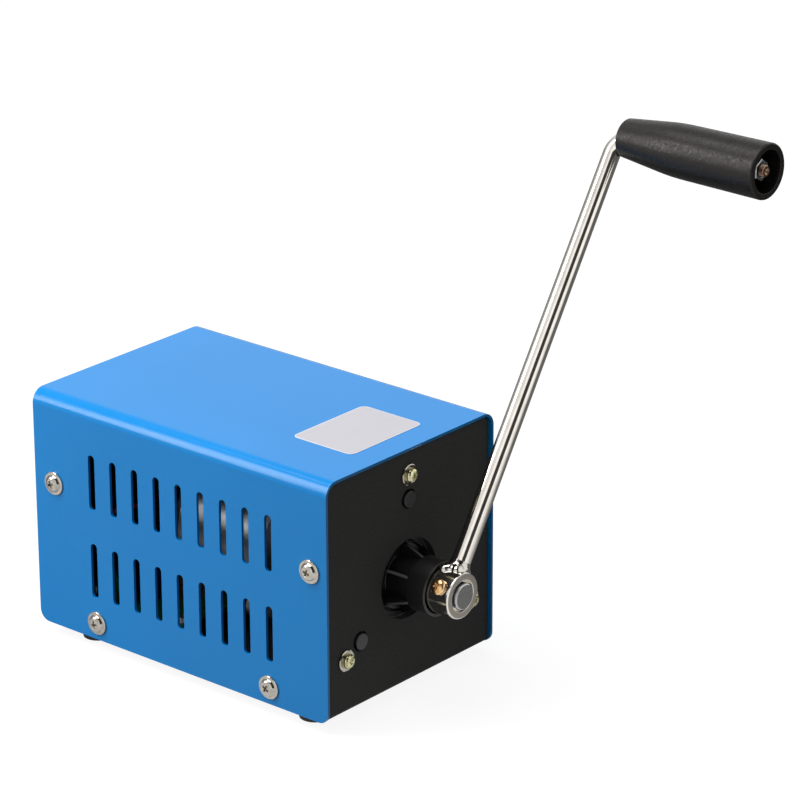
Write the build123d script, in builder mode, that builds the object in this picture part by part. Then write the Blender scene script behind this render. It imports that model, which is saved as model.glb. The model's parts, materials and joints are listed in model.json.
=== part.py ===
"""Hand crank generator in a sheet-steel case.

The crank turns the carrier of a two-stage planetary gearbox, which steps the
speed up to a permanent-magnet motor used as the dynamo.  A regulator board
behind the motor feeds a voltmeter, two USB sockets and two 4 mm sockets in the
rear panel.

Millimetres.  The origin is the middle of the footprint on the surface that the
feet stand on, +Z is up, and the crank is at the front, on the -Y side.
"""
from build123d import *
from math import acos, cos, pi, radians, sin, tan
import os

os.makedirs("parts", exist_ok=True)

# ------------------------------------------------------------ driving dimensions

# Case: an inverted U cover over a U-shaped chassis, both bent from sheet.
CASE_WIDTH = 85.0
CASE_HEIGHT = 85.0
COVER_SHEET = 1.0
COVER_BEND = 5.0
COVER_FRONT = -65.3
COVER_REAR = 67.0
WALL_CORNER = 4.0
FOOT_HEIGHT = 4.0
CHASSIS_SHEET = 1.2
CHASSIS_BEND = 2.0
CHASSIS_LENGTH = 128.0
SIDE_GAP = 0.3
CUT_MARGIN = 1.0

# Vents: two rows of upright slots in each side wall.
VENT_PITCH = 10.0
VENT_COUNT = 9
VENT_WIDTH = 3.0
VENT_HEIGHT = 20.0
VENT_ROW_PITCH = 32.4
VENT_MIDDLE_Z = 45.6

# Screws through the cover, as (y, z) on each side wall.
COVER_SCREWS = [(-58.0, 57.0), (58.0, 57.0), (-39.5, 10.2), (39.5, 10.2)]
COVER_SCREW_HEAD = 4.15
COVER_SCREW_PROUD = 2.0
COVER_SCREW_SHANK = 2.0
COVER_SCREW_PLAY = 0.2

# Crank axis, above the surface.
AXIS_Z = 42.0

# Front panel: one hole for the gearbox nose, and three bosses and three
# screws spaced evenly round it.
NOSE_HOLE = 14.0
BOSS_CIRCLE = 28.4
BOSS_RADIUS = 2.95
BOSS_HOLE = 3.5
BOSS_PROUD = 0.9
PANEL_SCREW_CIRCLE = 37.0
PANEL_SCREW_SHANK = 2.0
PANEL_SCREW_HOLE = 2.2
FIRST_SPOKE = 90.0
SPOKES = 3

# Crank: the arm leans to +X in the stored pose.
ARM_ANGLE = 57.2
THROW = 161.0
ARM_Y = -81.5
ARM_BASE_RADIUS = 3.3
ARM_TIP_RADIUS = 3.0
ARM_BEND = 6.5
HUB_RADIUS = 8.1
HUB_FRONT = -87.0
HUB_REAR = -76.1
SHAFT_RADIUS = 4.8
SHAFT_FLAT_DEPTH = 1.0

# Grip, from its arm end to its outer end.
GRIP_START = -84.9
GRIP_WAIST = -106.0
GRIP_END = -142.0
GRIP_RADII = (6.6, 9.1, 9.5)
GRIP_WAIST_ROUND = 25.0
GRIP_END_ROUND = 0.6
GRIP_MOUTH = 5.6
GRIP_MOUTH_DEPTH = 5.0

# Planetary gears, module 1: every stage steps up 1 + RING_TEETH / SUN_TEETH.
MODULE = 1.0
PRESSURE_ANGLE = 20.0
ADDENDUM = 0.8
DEDENDUM = 1.1
TOOTH_PLAY = 0.08
RING_TEETH = 48
PLANET_TEETH = 18
SUN_TEETH = 12
RUNNING_CLEARANCE = 0.05

# Gearbox stations along Y, front to rear.
FLANGE_THICK = 5.0
STAGE_ONE = (-50.8, -39.8)
STAGE_TWO = (-34.2, -26.2)
RING_REAR = -24.0
GEARBOX_REAR = -17.0
RING_RADIUS = 29.5

# Dynamo motor.
MOTOR_RADIUS = 21.0
MOTOR_REAR = 21.0
MOTOR_SHAFT = 2.5

# Rear panel fittings, as (x, z) of their middles.
METER_AT = (0.0, 70.0)
USB_AT = (-18.0, 40.0)
KNOB_AT = (18.0, 40.0)
SOCKET_Z = 20.0
SOCKET_SPACING = 19.0
PLUG_RADIUS = 2.0
SOCKET_SPOTS = [(-SOCKET_SPACING / 2, SOCKET_Z), (SOCKET_SPACING / 2, SOCKET_Z)]

# ------------------------------------------------------------ worked-out sizes

HALF_WIDTH = CASE_WIDTH / 2
COVER_BOTTOM = FOOT_HEIGHT
COVER_TOP = COVER_BOTTOM + CASE_HEIGHT
CHASSIS_HALF_WIDTH = HALF_WIDTH - COVER_SHEET - SIDE_GAP
CHASSIS_BOTTOM = FOOT_HEIGHT + SIDE_GAP
CHASSIS_FLOOR = CHASSIS_BOTTOM + CHASSIS_SHEET
CHASSIS_TOP = COVER_TOP - COVER_SHEET - SIDE_GAP
PANEL_FRONT = -CHASSIS_LENGTH / 2
PANEL_REAR = CHASSIS_LENGTH / 2
PANEL_INNER = PANEL_FRONT + CHASSIS_SHEET
REAR_INNER = PANEL_REAR - CHASSIS_SHEET
FLANGE_REAR = PANEL_INNER + FLANGE_THICK
PLANET_CIRCLE = MODULE * (PLANET_TEETH + SUN_TEETH) / 2
GRIP_X = THROW * cos(radians(ARM_ANGLE))
GRIP_Z = AXIS_Z + THROW * sin(radians(ARM_ANGLE))

CRANK_AXIS = Axis((0, 0, AXIS_Z), (0, 1, 0))
GRIP_AXIS = Axis((GRIP_X, 0, GRIP_Z), (0, 1, 0))

FOOT_TREAD = 5.4
FOOT_SPOTS = [(x, y) for x in (-33.0, 33.0) for y in (-51.3, 48.5)]


# ------------------------------------------------------------ planes and helpers

def facing_front(y, height=AXIS_Z):
    """Plane across Y that faces the front: local x is +X and local y is +Z."""
    return Plane(origin=(0, y, height), x_dir=(1, 0, 0), z_dir=(0, -1, 0))


def section(angle=90.0, x=0.0, z=AXIS_Z):
    """Plane through a line along Y: local x is +Y, local y is the radius."""
    turn = radians(angle)
    return Plane(origin=(x, 0, z), x_dir=(0, 1, 0), z_dir=(sin(turn), 0, -cos(turn)))


def spoke(radius, angle):
    """Point (x, z) at a radius and angle from the crank axis."""
    turn = radians(angle)
    return (radius * cos(turn), AXIS_Z + radius * sin(turn))


def turned(points, axis=CRANK_AXIS, plane=None, mode=Mode.ADD):
    """Turn a profile of (y, radius) corners about an axis along Y."""
    with BuildSketch(plane or section()) as profile:
        Polygon(*points, align=None)
    revolve(profile.sketch, axis=axis, mode=mode)


def ring_of(outer, inner, front, rear, mode=Mode.ADD):
    """Plain ring or, with no inner radius, disc about the crank axis."""
    with BuildSketch(facing_front(rear)) as profile:
        Circle(outer)
        if inner:
            Circle(inner, mode=Mode.SUBTRACT)
    extrude(profile.sketch, amount=rear - front, mode=mode)


def screw(plane, head_radius, head_height, shank_radius, shank_length):
    """Domed screw on a plane: the head stands on it and the shank goes below."""
    with BuildSketch(plane) as head:
        Circle(head_radius)
    extrude(head.sketch, amount=head_height, taper=24)
    with BuildSketch(plane) as shank:
        Circle(shank_radius)
    extrude(shank.sketch, amount=-shank_length)


def gear_face(teeth, tip_radius, root_radius, play, first_tooth):
    """Gear outline for the sketch in hand, with one arc for each tooth flank.

    play is taken off both flanks of a tooth, and first_tooth is the angle of
    the middle of one tooth.
    """
    pitch_radius = MODULE * teeth / 2
    base_radius = pitch_radius * cos(radians(PRESSURE_ANGLE))

    def involute(angle):
        return tan(angle) - angle

    half_at_pitch = pi / (2 * teeth) - play / pitch_radius

    def half_tooth(radius):
        """Half of the tooth's angle at a radius."""
        pressure = acos(min(1.0, base_radius / radius))
        return half_at_pitch + involute(radians(PRESSURE_ANGLE)) - involute(pressure)

    def at(radius, angle):
        return (radius * cos(angle), radius * sin(angle))

    middle_radius = (max(base_radius, root_radius) + tip_radius) / 2
    tooth_pitch = 2 * pi / teeth
    with BuildLine() as outline:
        for tooth in range(teeth):
            centre = radians(first_tooth) + tooth * tooth_pitch
            root_start = centre - half_tooth(root_radius)
            root_end = centre + half_tooth(root_radius)
            tip_start = centre - half_tooth(tip_radius)
            tip_end = centre + half_tooth(tip_radius)
            next_root = root_start + tooth_pitch
            ThreePointArc(
                at(root_radius, root_start),
                at(middle_radius, centre - half_tooth(middle_radius)),
                at(tip_radius, tip_start),
            )
            Line(at(tip_radius, tip_start), at(tip_radius, tip_end))
            ThreePointArc(
                at(tip_radius, tip_end),
                at(middle_radius, centre + half_tooth(middle_radius)),
                at(root_radius, root_end),
            )
            Line(at(root_radius, root_end), at(root_radius, next_root))
    make_face(outline.edges())


def outside_teeth(teeth, first_tooth):
    """Outline of a planet or a sun gear."""
    pitch_radius = MODULE * teeth / 2
    gear_face(
        teeth,
        tip_radius=pitch_radius + ADDENDUM * MODULE,
        root_radius=pitch_radius - DEDENDUM * MODULE,
        play=TOOTH_PLAY,
        first_tooth=first_tooth,
    )


def finish(piece, name):
    """Label a finished piece and write it."""
    piece.part.label = name
    export_step(piece.part, f"parts/{name}.step")


# ------------------------------------------------------------ case

# Cover: top and side walls in one bent sheet, with vents and screw holes.
with BuildPart() as cover:
    middle = HALF_WIDTH - COVER_SHEET / 2
    with BuildSketch(Plane.XZ.offset(-COVER_REAR)):
        with BuildLine():
            FilletPolyline(
                (-middle, COVER_BOTTOM),
                (-middle, COVER_TOP - COVER_SHEET / 2),
                (middle, COVER_TOP - COVER_SHEET / 2),
                (middle, COVER_BOTTOM),
                radius=COVER_BEND - COVER_SHEET / 2,
            )
        trace(line_width=COVER_SHEET)
    extrude(amount=COVER_REAR - COVER_FRONT)
    with BuildSketch(Plane.YZ):
        with Locations((0, VENT_MIDDLE_Z)):
            with GridLocations(VENT_PITCH, VENT_ROW_PITCH, VENT_COUNT, 2):
                SlotOverall(VENT_HEIGHT, VENT_WIDTH, rotation=90)
        with Locations(*COVER_SCREWS):
            Circle(COVER_SCREW_SHANK + COVER_SCREW_PLAY)
    extrude(amount=HALF_WIDTH + CUT_MARGIN, both=True, mode=Mode.SUBTRACT)
    wall_corners = cover.edges().filter_by(Axis.X).group_by(Axis.Z)[0]
    fillet(wall_corners, radius=WALL_CORNER)
finish(cover, "cover")

# Chassis: floor, front panel and rear panel in one bent sheet, with tabs and
# low side flanges that take the cover screws.
TAB_DEPTH = 11.0
TAB_HEIGHT = 26.0
TAB_Z = COVER_SCREWS[0][1]
SIDE_FLANGE_HEIGHT = 13.0
SIDE_FLANGE_LENGTH = 100.0
METER_CUTOUT = (45.0, 26.0)
USB_CUTOUT = (16.4, 20.4)
BOARD_SPOTS = [(x, y) for x in (-29.0, 29.0) for y in (12.0, 53.0)]
BOARD_SCREW = 1.5
FOOT_SCREW = 1.5
KNOB_HOLE = 3.6
SOCKET_HOLE = 4.1
with BuildPart() as chassis:
    middle = CHASSIS_LENGTH / 2 - CHASSIS_SHEET / 2
    floor_middle = CHASSIS_BOTTOM + CHASSIS_SHEET / 2
    with BuildSketch(Plane.YZ.offset(-CHASSIS_HALF_WIDTH)):
        with BuildLine():
            FilletPolyline(
                (-middle, CHASSIS_TOP),
                (-middle, floor_middle),
                (middle, floor_middle),
                (middle, CHASSIS_TOP),
                radius=CHASSIS_BEND - CHASSIS_SHEET / 2,
            )
        trace(line_width=CHASSIS_SHEET)
    extrude(amount=2 * CHASSIS_HALF_WIDTH)
    panel_corners = chassis.edges().filter_by(Axis.Y).group_by(Axis.Z)[-1]
    fillet(panel_corners, radius=COVER_BEND - COVER_SHEET)
    for side in (-1, 1):
        with BuildSketch(Plane.YZ.offset(side * CHASSIS_HALF_WIDTH)):
            tab_y = CHASSIS_LENGTH / 2 - CHASSIS_SHEET - TAB_DEPTH / 2
            with Locations((-tab_y, TAB_Z), (tab_y, TAB_Z)):
                Rectangle(TAB_DEPTH + CHASSIS_SHEET, TAB_HEIGHT)
            with Locations((0, CHASSIS_BOTTOM + SIDE_FLANGE_HEIGHT / 2)):
                Rectangle(SIDE_FLANGE_LENGTH, SIDE_FLANGE_HEIGHT)
        extrude(amount=-side * CHASSIS_SHEET)
    with BuildSketch(Plane.YZ):
        with Locations(*COVER_SCREWS):
            Circle(COVER_SCREW_SHANK)
    extrude(amount=HALF_WIDTH, both=True, mode=Mode.SUBTRACT)
    with BuildSketch(facing_front(PANEL_INNER + CUT_MARGIN)):
        Circle(NOSE_HOLE)
        with PolarLocations(BOSS_CIRCLE, SPOKES, start_angle=FIRST_SPOKE):
            Circle(BOSS_HOLE)
        with PolarLocations(PANEL_SCREW_CIRCLE, SPOKES, start_angle=FIRST_SPOKE):
            Circle(PANEL_SCREW_HOLE)
    extrude(amount=CHASSIS_SHEET + 2 * CUT_MARGIN, mode=Mode.SUBTRACT)
    with BuildSketch(facing_front(PANEL_REAR + CUT_MARGIN, height=0)):
        with Locations(METER_AT):
            Rectangle(*METER_CUTOUT)
        with Locations(USB_AT):
            Rectangle(*USB_CUTOUT)
        with Locations(KNOB_AT):
            Circle(KNOB_HOLE)
        with Locations(*SOCKET_SPOTS):
            Circle(SOCKET_HOLE)
    extrude(amount=CHASSIS_SHEET + 2 * CUT_MARGIN, mode=Mode.SUBTRACT)
    with BuildSketch(Plane.XY.offset(CHASSIS_BOTTOM - CUT_MARGIN)):
        with Locations(*FOOT_SPOTS):
            Circle(FOOT_SCREW)
        with Locations(*BOARD_SPOTS):
            Circle(BOARD_SCREW)
    extrude(amount=CHASSIS_SHEET + 2 * CUT_MARGIN, mode=Mode.SUBTRACT)
finish(chassis, "chassis")

# Rubber feet, each with a sunk screw head.
FOOT_SINK = 1.8
FOOT_SINK_RADIUS = 3.4
FOOT_FLARE = -8
with BuildPart() as feet:
    with BuildSketch(Plane.XY):
        with Locations(*FOOT_SPOTS):
            Circle(FOOT_TREAD)
    extrude(amount=CHASSIS_BOTTOM, taper=FOOT_FLARE)
    with BuildSketch(Plane.XY):
        with Locations(*FOOT_SPOTS):
            Circle(FOOT_SINK_RADIUS)
    extrude(amount=FOOT_SINK, mode=Mode.SUBTRACT)
    with BuildSketch(Plane.XY):
        with Locations(*FOOT_SPOTS):
            Circle(FOOT_SCREW)
    extrude(amount=CHASSIS_BOTTOM, mode=Mode.SUBTRACT)
finish(feet, "feet")

with BuildPart() as foot_screws:
    for foot_x, foot_y in FOOT_SPOTS:
        seat = Plane(origin=(foot_x, foot_y, FOOT_SINK), x_dir=(1, 0, 0), z_dir=(0, 0, -1))
        screw(seat, head_radius=2.9, head_height=1.4, shank_radius=FOOT_SCREW, shank_length=7.0)
finish(foot_screws, "foot_screws")

# Four pan-head screws on each side hold the cover to the chassis.
with BuildPart() as cover_screws:
    for side in (-1, 1):
        for screw_y, screw_z in COVER_SCREWS:
            seat = Plane(
                origin=(side * HALF_WIDTH, screw_y, screw_z),
                x_dir=(0, 1, 0),
                z_dir=(side, 0, 0),
            )
            screw(seat, COVER_SCREW_HEAD, COVER_SCREW_PROUD, COVER_SCREW_SHANK, shank_length=6.0)
finish(cover_screws, "cover_screws")

# ------------------------------------------------------------ gearbox casing

# Front casting: flange, ribbed nose with its collar, three bosses that stand
# through the panel and three ears for the panel screws.
COLLAR_FRONT = PANEL_FRONT - 14.0
COLLAR_REAR = PANEL_FRONT - 8.6
COLLAR_RADIUS = 9.4
NOSE_RADIUS = 8.3
NOSE_FLOOR_RADIUS = 13.6
BUSH_RADIUS = 7.0
RIB_COUNT = 6
RIB_THICK = 1.6
RIB_FOOT = 12.8
RIB_ROOT = 7.3
RIB_FRONT = COLLAR_REAR - 0.4
EAR_RADIUS = 5.5
FRONT_FLANGE_RADIUS = 33.0
NOSE_FLOOR_PROUD = 0.6
HUB_PLAY = 0.3
TIE_SCREW = 1.5
TIE_HOLE_DEPTH = 6.5
TIE_SCREW_DEPTH = 6.0
CARRIER_RADIUS = 21.5
CARRIER_PLAY = 1.0
with BuildPart() as gearbox_front:
    with BuildSketch(facing_front(FLANGE_REAR)):
        Circle(FRONT_FLANGE_RADIUS)
        with PolarLocations(PANEL_SCREW_CIRCLE, SPOKES, start_angle=FIRST_SPOKE):
            Circle(EAR_RADIUS)
        with PolarLocations(PANEL_SCREW_CIRCLE, SPOKES, start_angle=FIRST_SPOKE):
            Circle(PANEL_SCREW_SHANK, mode=Mode.SUBTRACT)
    extrude(amount=FLANGE_THICK)
    ring_of(NOSE_FLOOR_RADIUS, 0, PANEL_INNER - NOSE_FLOOR_PROUD, PANEL_INNER)
    ring_of(NOSE_RADIUS, 0, COLLAR_REAR, PANEL_INNER)
    ring_of(COLLAR_RADIUS, 0, COLLAR_FRONT, COLLAR_REAR)
    for rib in range(RIB_COUNT):
        with BuildSketch(section(FIRST_SPOKE + rib * 360 / RIB_COUNT)):
            Polygon(
                (PANEL_INNER, RIB_ROOT),
                (PANEL_INNER, RIB_FOOT),
                (RIB_FRONT, COLLAR_RADIUS - 0.1),
                (RIB_FRONT, RIB_ROOT),
                align=None,
            )
        extrude(amount=RIB_THICK / 2, both=True)
    with BuildSketch(facing_front(PANEL_INNER)):
        with PolarLocations(BOSS_CIRCLE, SPOKES, start_angle=FIRST_SPOKE):
            Circle(BOSS_RADIUS)
    extrude(amount=CHASSIS_SHEET + BOSS_PROUD)
    ring_of(BUSH_RADIUS, 0, COLLAR_FRONT, FLANGE_REAR, mode=Mode.SUBTRACT)
    ring_of(HUB_RADIUS + HUB_PLAY, 0, COLLAR_FRONT, HUB_REAR + HUB_PLAY, mode=Mode.SUBTRACT)
    ring_of(CARRIER_RADIUS + CARRIER_PLAY, 0, FLANGE_REAR - CARRIER_PLAY, FLANGE_REAR, mode=Mode.SUBTRACT)
    with BuildSketch(facing_front(FLANGE_REAR)):
        with PolarLocations(BOSS_CIRCLE, SPOKES, start_angle=FIRST_SPOKE):
            Circle(TIE_SCREW)
    extrude(amount=TIE_HOLE_DEPTH, mode=Mode.SUBTRACT)
finish(gearbox_front, "gearbox_front")

# Ring gear: one toothed sleeve serves both stages, with three outer ribs for
# the tie screws.
TIE_LUG = 4.2
with BuildPart() as ring_gear:
    with BuildSketch(facing_front(RING_REAR)):
        Circle(RING_RADIUS)
        with PolarLocations(BOSS_CIRCLE, SPOKES, start_angle=FIRST_SPOKE):
            Circle(TIE_LUG)
    extrude(amount=RING_REAR - FLANGE_REAR)
    with BuildSketch(facing_front(RING_REAR)):
        gear_face(
            RING_TEETH,
            tip_radius=MODULE * (RING_TEETH / 2 + DEDENDUM),
            root_radius=MODULE * (RING_TEETH / 2 - ADDENDUM),
            play=-TOOTH_PLAY,
            first_tooth=FIRST_SPOKE,
        )
    extrude(amount=RING_REAR - FLANGE_REAR, mode=Mode.SUBTRACT)
    with BuildSketch(facing_front(RING_REAR)):
        with PolarLocations(BOSS_CIRCLE, SPOKES, start_angle=FIRST_SPOKE):
            Circle(TIE_SCREW)
    extrude(amount=RING_REAR - FLANGE_REAR, mode=Mode.SUBTRACT)
finish(ring_gear, "ring_gear")

# Rear casting closes the gearbox and carries the motor.
MOTOR_BOSS_RADIUS = 8.5
MOTOR_SCREW = 1.5
MOTOR_SCREW_X = 14.5
MOTOR_SCREW_SINK = 2.0
REAR_FLANGE_RADIUS = 27.0
with BuildPart() as gearbox_rear:
    with BuildSketch(facing_front(GEARBOX_REAR)):
        Circle(REAR_FLANGE_RADIUS)
        with PolarLocations(BOSS_CIRCLE, SPOKES, start_angle=FIRST_SPOKE):
            Circle(TIE_LUG)
        Circle(MOTOR_BOSS_RADIUS, mode=Mode.SUBTRACT)
        with PolarLocations(BOSS_CIRCLE, SPOKES, start_angle=FIRST_SPOKE):
            Circle(TIE_SCREW, mode=Mode.SUBTRACT)
        with Locations((-MOTOR_SCREW_X, 0), (MOTOR_SCREW_X, 0)):
            Circle(MOTOR_SCREW, mode=Mode.SUBTRACT)
    extrude(amount=GEARBOX_REAR - RING_REAR)
    with BuildSketch(facing_front(RING_REAR + MOTOR_SCREW_SINK)):
        with Locations((-MOTOR_SCREW_X, 0), (MOTOR_SCREW_X, 0)):
            Circle(2 * MOTOR_SCREW)
    extrude(amount=MOTOR_SCREW_SINK, mode=Mode.SUBTRACT)
finish(gearbox_rear, "gearbox_rear")

# Three long screws clamp both castings and the sleeve together, and two short
# ones hold the motor to the rear casting.
with BuildPart() as gearbox_screws:
    for index in range(SPOKES):
        x, z = spoke(BOSS_CIRCLE, FIRST_SPOKE + index * 360 / SPOKES)
        seat = Plane(origin=(x, GEARBOX_REAR, z), x_dir=(1, 0, 0), z_dir=(0, 1, 0))
        length = GEARBOX_REAR - FLANGE_REAR + TIE_SCREW_DEPTH
        screw(seat, head_radius=2.8, head_height=1.8, shank_radius=TIE_SCREW, shank_length=length)
    for x in (-MOTOR_SCREW_X, MOTOR_SCREW_X):
        seat = Plane(
            origin=(x, RING_REAR + MOTOR_SCREW_SINK, AXIS_Z), x_dir=(1, 0, 0), z_dir=(0, -1, 0)
        )
        screw(seat, head_radius=2.7, head_height=1.7, shank_radius=MOTOR_SCREW, shank_length=7.0)
finish(gearbox_screws, "gearbox_screws")

# Panel screws with spring washers hold the gearbox to the front panel.
WASHER_THICK = 0.8
WASHER_RADIUS = 3.7
with BuildPart() as panel_washers:
    with BuildSketch(facing_front(PANEL_FRONT)):
        with PolarLocations(PANEL_SCREW_CIRCLE, SPOKES, start_angle=FIRST_SPOKE):
            Circle(WASHER_RADIUS)
        with PolarLocations(PANEL_SCREW_CIRCLE, SPOKES, start_angle=FIRST_SPOKE):
            Circle(PANEL_SCREW_HOLE, mode=Mode.SUBTRACT)
    extrude(amount=WASHER_THICK)
finish(panel_washers, "panel_washers")

with BuildPart() as panel_screws:
    for index in range(SPOKES):
        x, z = spoke(PANEL_SCREW_CIRCLE, FIRST_SPOKE + index * 360 / SPOKES)
        seat = Plane(
            origin=(x, PANEL_FRONT - WASHER_THICK, z), x_dir=(1, 0, 0), z_dir=(0, -1, 0)
        )
        screw(seat, head_radius=3.0, head_height=1.9, shank_radius=PANEL_SCREW_SHANK, shank_length=7.0)
finish(panel_screws, "panel_screws")

# ------------------------------------------------------------ crank

SHAFT_FRONT = HUB_FRONT - 0.7
CARRIER_FRONT = FLANGE_REAR - 0.5
CARRIER_REAR = STAGE_ONE[0] - 0.5
HUB_SCREW_Y = -83.0
HUB_SCREW_RADIUS = 1.45
HUB_SCREW_SEAT = 7.6
HUB_SCREW_FLOOR = 3.0
HUB_SCREW_SPOT = 3.1
HUB_SCREW_ANGLES = (ARM_ANGLE + 90, ARM_ANGLE - 90)


def across_hub(angle, radius):
    """Plane square to a radius of the hub, facing outwards."""
    turn = radians(angle)
    outward = (cos(turn), 0, sin(turn))
    origin = (radius * outward[0], HUB_SCREW_Y, AXIS_Z + radius * outward[2])
    return Plane(origin=origin, x_dir=(0, 1, 0), z_dir=outward)


# Crank shaft: round bar with a flat under the hub, opposite the arm.
with BuildPart() as crank_shaft:
    ring_of(SHAFT_RADIUS, 0, SHAFT_FRONT, CARRIER_REAR)
    chamfer(crank_shaft.edges().group_by(Axis.Y)[0], length=0.4)
    with BuildSketch(section(ARM_ANGLE)):
        with Locations(((SHAFT_FRONT + HUB_REAR) / 2, -SHAFT_RADIUS)):
            Rectangle(HUB_REAR - SHAFT_FRONT, 2 * SHAFT_FLAT_DEPTH)
    extrude(amount=SHAFT_RADIUS, both=True, mode=Mode.SUBTRACT)
    for angle in HUB_SCREW_ANGLES:
        with BuildSketch(across_hub(angle, HUB_SCREW_FLOOR)):
            Circle(HUB_SCREW_RADIUS)
        extrude(amount=SHAFT_RADIUS, mode=Mode.SUBTRACT)
finish(crank_shaft, "crank_shaft")

with BuildPart() as crank_hub:
    ring_of(HUB_RADIUS, SHAFT_RADIUS + 0.05, HUB_FRONT, HUB_REAR)
    rim = crank_hub.edges().filter_by(GeomType.CIRCLE).group_by(Axis.Y)[0]
    chamfer(rim, length=0.3)
    for angle in HUB_SCREW_ANGLES:
        with BuildSketch(across_hub(angle, HUB_SCREW_SEAT)):
            Circle(HUB_SCREW_SPOT)
        extrude(amount=HUB_RADIUS - HUB_SCREW_SEAT + CUT_MARGIN, mode=Mode.SUBTRACT)
        with BuildSketch(across_hub(angle, HUB_SCREW_FLOOR)):
            Circle(HUB_SCREW_RADIUS)
        extrude(amount=HUB_RADIUS, mode=Mode.SUBTRACT)
finish(crank_hub, "crank_hub")

with BuildPart() as hub_screws:
    for angle in HUB_SCREW_ANGLES:
        seat = across_hub(angle, HUB_SCREW_SEAT)
        screw(seat, 2.8, 2.0, HUB_SCREW_RADIUS, shank_length=HUB_SCREW_SEAT - HUB_SCREW_FLOOR)
finish(hub_screws, "hub_screws")

# Arm: tapered bar welded to the hub, bent forward into the grip's spindle.
GRIP_BORE = ARM_TIP_RADIUS + 0.06
GRIP_SINK_RADIUS = 7.1
GRIP_SINK_FLOOR = GRIP_END + 7.2
SPINDLE_SHOULDER = GRIP_SINK_FLOOR - 0.15
STUD_RADIUS = 2.0
STUD_END = GRIP_END + 1.6
ARM_BEND_START = THROW - ARM_BEND
ARM_ROOT = 6.0
WELD_START = 6.4
WELD_END = 12.0
WELD_RADIUS = 5.2
WELD_WAIST = (3.8, 8.8)
arm_turn = radians(ARM_ANGLE)
ARM_AXIS = Axis((0, ARM_Y, AXIS_Z), (cos(arm_turn), 0, sin(arm_turn)))
with BuildPart() as crank_arm:
    with BuildSketch(section(ARM_ANGLE)):
        Polygon(
            (ARM_Y, ARM_ROOT),
            (ARM_Y - ARM_BASE_RADIUS, ARM_ROOT),
            (ARM_Y - ARM_TIP_RADIUS, ARM_BEND_START),
            (ARM_Y, ARM_BEND_START),
            align=None,
        )
    revolve(axis=ARM_AXIS)
    with BuildSketch(section(ARM_ANGLE)):
        with BuildLine():
            foot = (ARM_Y - WELD_RADIUS, WELD_START)
            neck = (ARM_Y - ARM_BASE_RADIUS, WELD_END)
            Line((ARM_Y, WELD_START), foot)
            ThreePointArc(foot, (ARM_Y - WELD_WAIST[0], WELD_WAIST[1]), neck)
            Line(neck, (ARM_Y, WELD_END))
            Line((ARM_Y, WELD_END), (ARM_Y, WELD_START))
        make_face()
    revolve(axis=ARM_AXIS)
    ring_of(2 * COLLAR_RADIUS, 0, COLLAR_FRONT - 0.2, COLLAR_REAR, mode=Mode.SUBTRACT)
    ring_of(HUB_RADIUS, 0, HUB_FRONT - CUT_MARGIN, HUB_REAR + CUT_MARGIN, mode=Mode.SUBTRACT)
    with BuildLine(section(ARM_ANGLE)) as elbow:
        CenterArc((ARM_Y - ARM_BEND, ARM_BEND_START), ARM_BEND, start_angle=0, arc_size=90)
    with BuildSketch(Plane(elbow.line @ 0, z_dir=elbow.line % 0)):
        Circle(ARM_TIP_RADIUS)
    sweep(path=elbow.line)
    turned(
        [
            (ARM_Y - ARM_BEND, 0),
            (ARM_Y - ARM_BEND, ARM_TIP_RADIUS),
            (SPINDLE_SHOULDER, ARM_TIP_RADIUS),
            (SPINDLE_SHOULDER, STUD_RADIUS),
            (STUD_END + 0.4, STUD_RADIUS),
            (STUD_END, STUD_RADIUS - 0.4),
            (STUD_END, 0),
        ],
        axis=GRIP_AXIS,
        plane=section(x=GRIP_X, z=GRIP_Z),
    )
finish(crank_arm, "crank_arm")

# Washer and nut hold the grip on its spindle.
GRIP_WASHER_THICK = 0.8
grip_plane = Plane(origin=(GRIP_X, SPINDLE_SHOULDER, GRIP_Z), x_dir=(1, 0, 0), z_dir=(0, -1, 0))
with BuildPart() as grip_washer:
    with BuildSketch(grip_plane):
        Circle(4.5)
        Circle(STUD_RADIUS, mode=Mode.SUBTRACT)
    extrude(amount=GRIP_WASHER_THICK)
finish(grip_washer, "grip_washer")

with BuildPart() as grip_nut:
    with BuildSketch(grip_plane.offset(GRIP_WASHER_THICK)):
        RegularPolygon(radius=3.5, side_count=6, major_radius=False)
        Circle(STUD_RADIUS, mode=Mode.SUBTRACT)
    extrude(amount=3.2)
finish(grip_nut, "grip_nut")

# Grip: turned shape that swells from the arm end, free on the spindle.
with BuildPart() as grip:
    with BuildSketch(section(x=GRIP_X, z=GRIP_Z)):
        with BuildLine():
            start_r, waist_r, end_r = GRIP_RADII
            FilletPolyline(
                (GRIP_START, GRIP_MOUTH),
                (GRIP_START, start_r),
                (GRIP_WAIST, waist_r),
                (GRIP_END, end_r),
                (GRIP_END, GRIP_SINK_RADIUS),
                radius=(GRIP_END_ROUND, GRIP_WAIST_ROUND, GRIP_END_ROUND),
            )
            Line((GRIP_END, GRIP_SINK_RADIUS), (GRIP_SINK_FLOOR, GRIP_SINK_RADIUS))
            Line((GRIP_SINK_FLOOR, GRIP_SINK_RADIUS), (GRIP_SINK_FLOOR, GRIP_BORE))
            Line((GRIP_SINK_FLOOR, GRIP_BORE), (GRIP_START - GRIP_MOUTH_DEPTH, GRIP_BORE))
            Line((GRIP_START - GRIP_MOUTH_DEPTH, GRIP_BORE), (GRIP_START, GRIP_MOUTH))
        make_face()
    revolve(axis=GRIP_AXIS)
finish(grip, "grip")

# ------------------------------------------------------------ planetary gears

PIN_ONE = 2.5
PIN_TWO = 2.0


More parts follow.
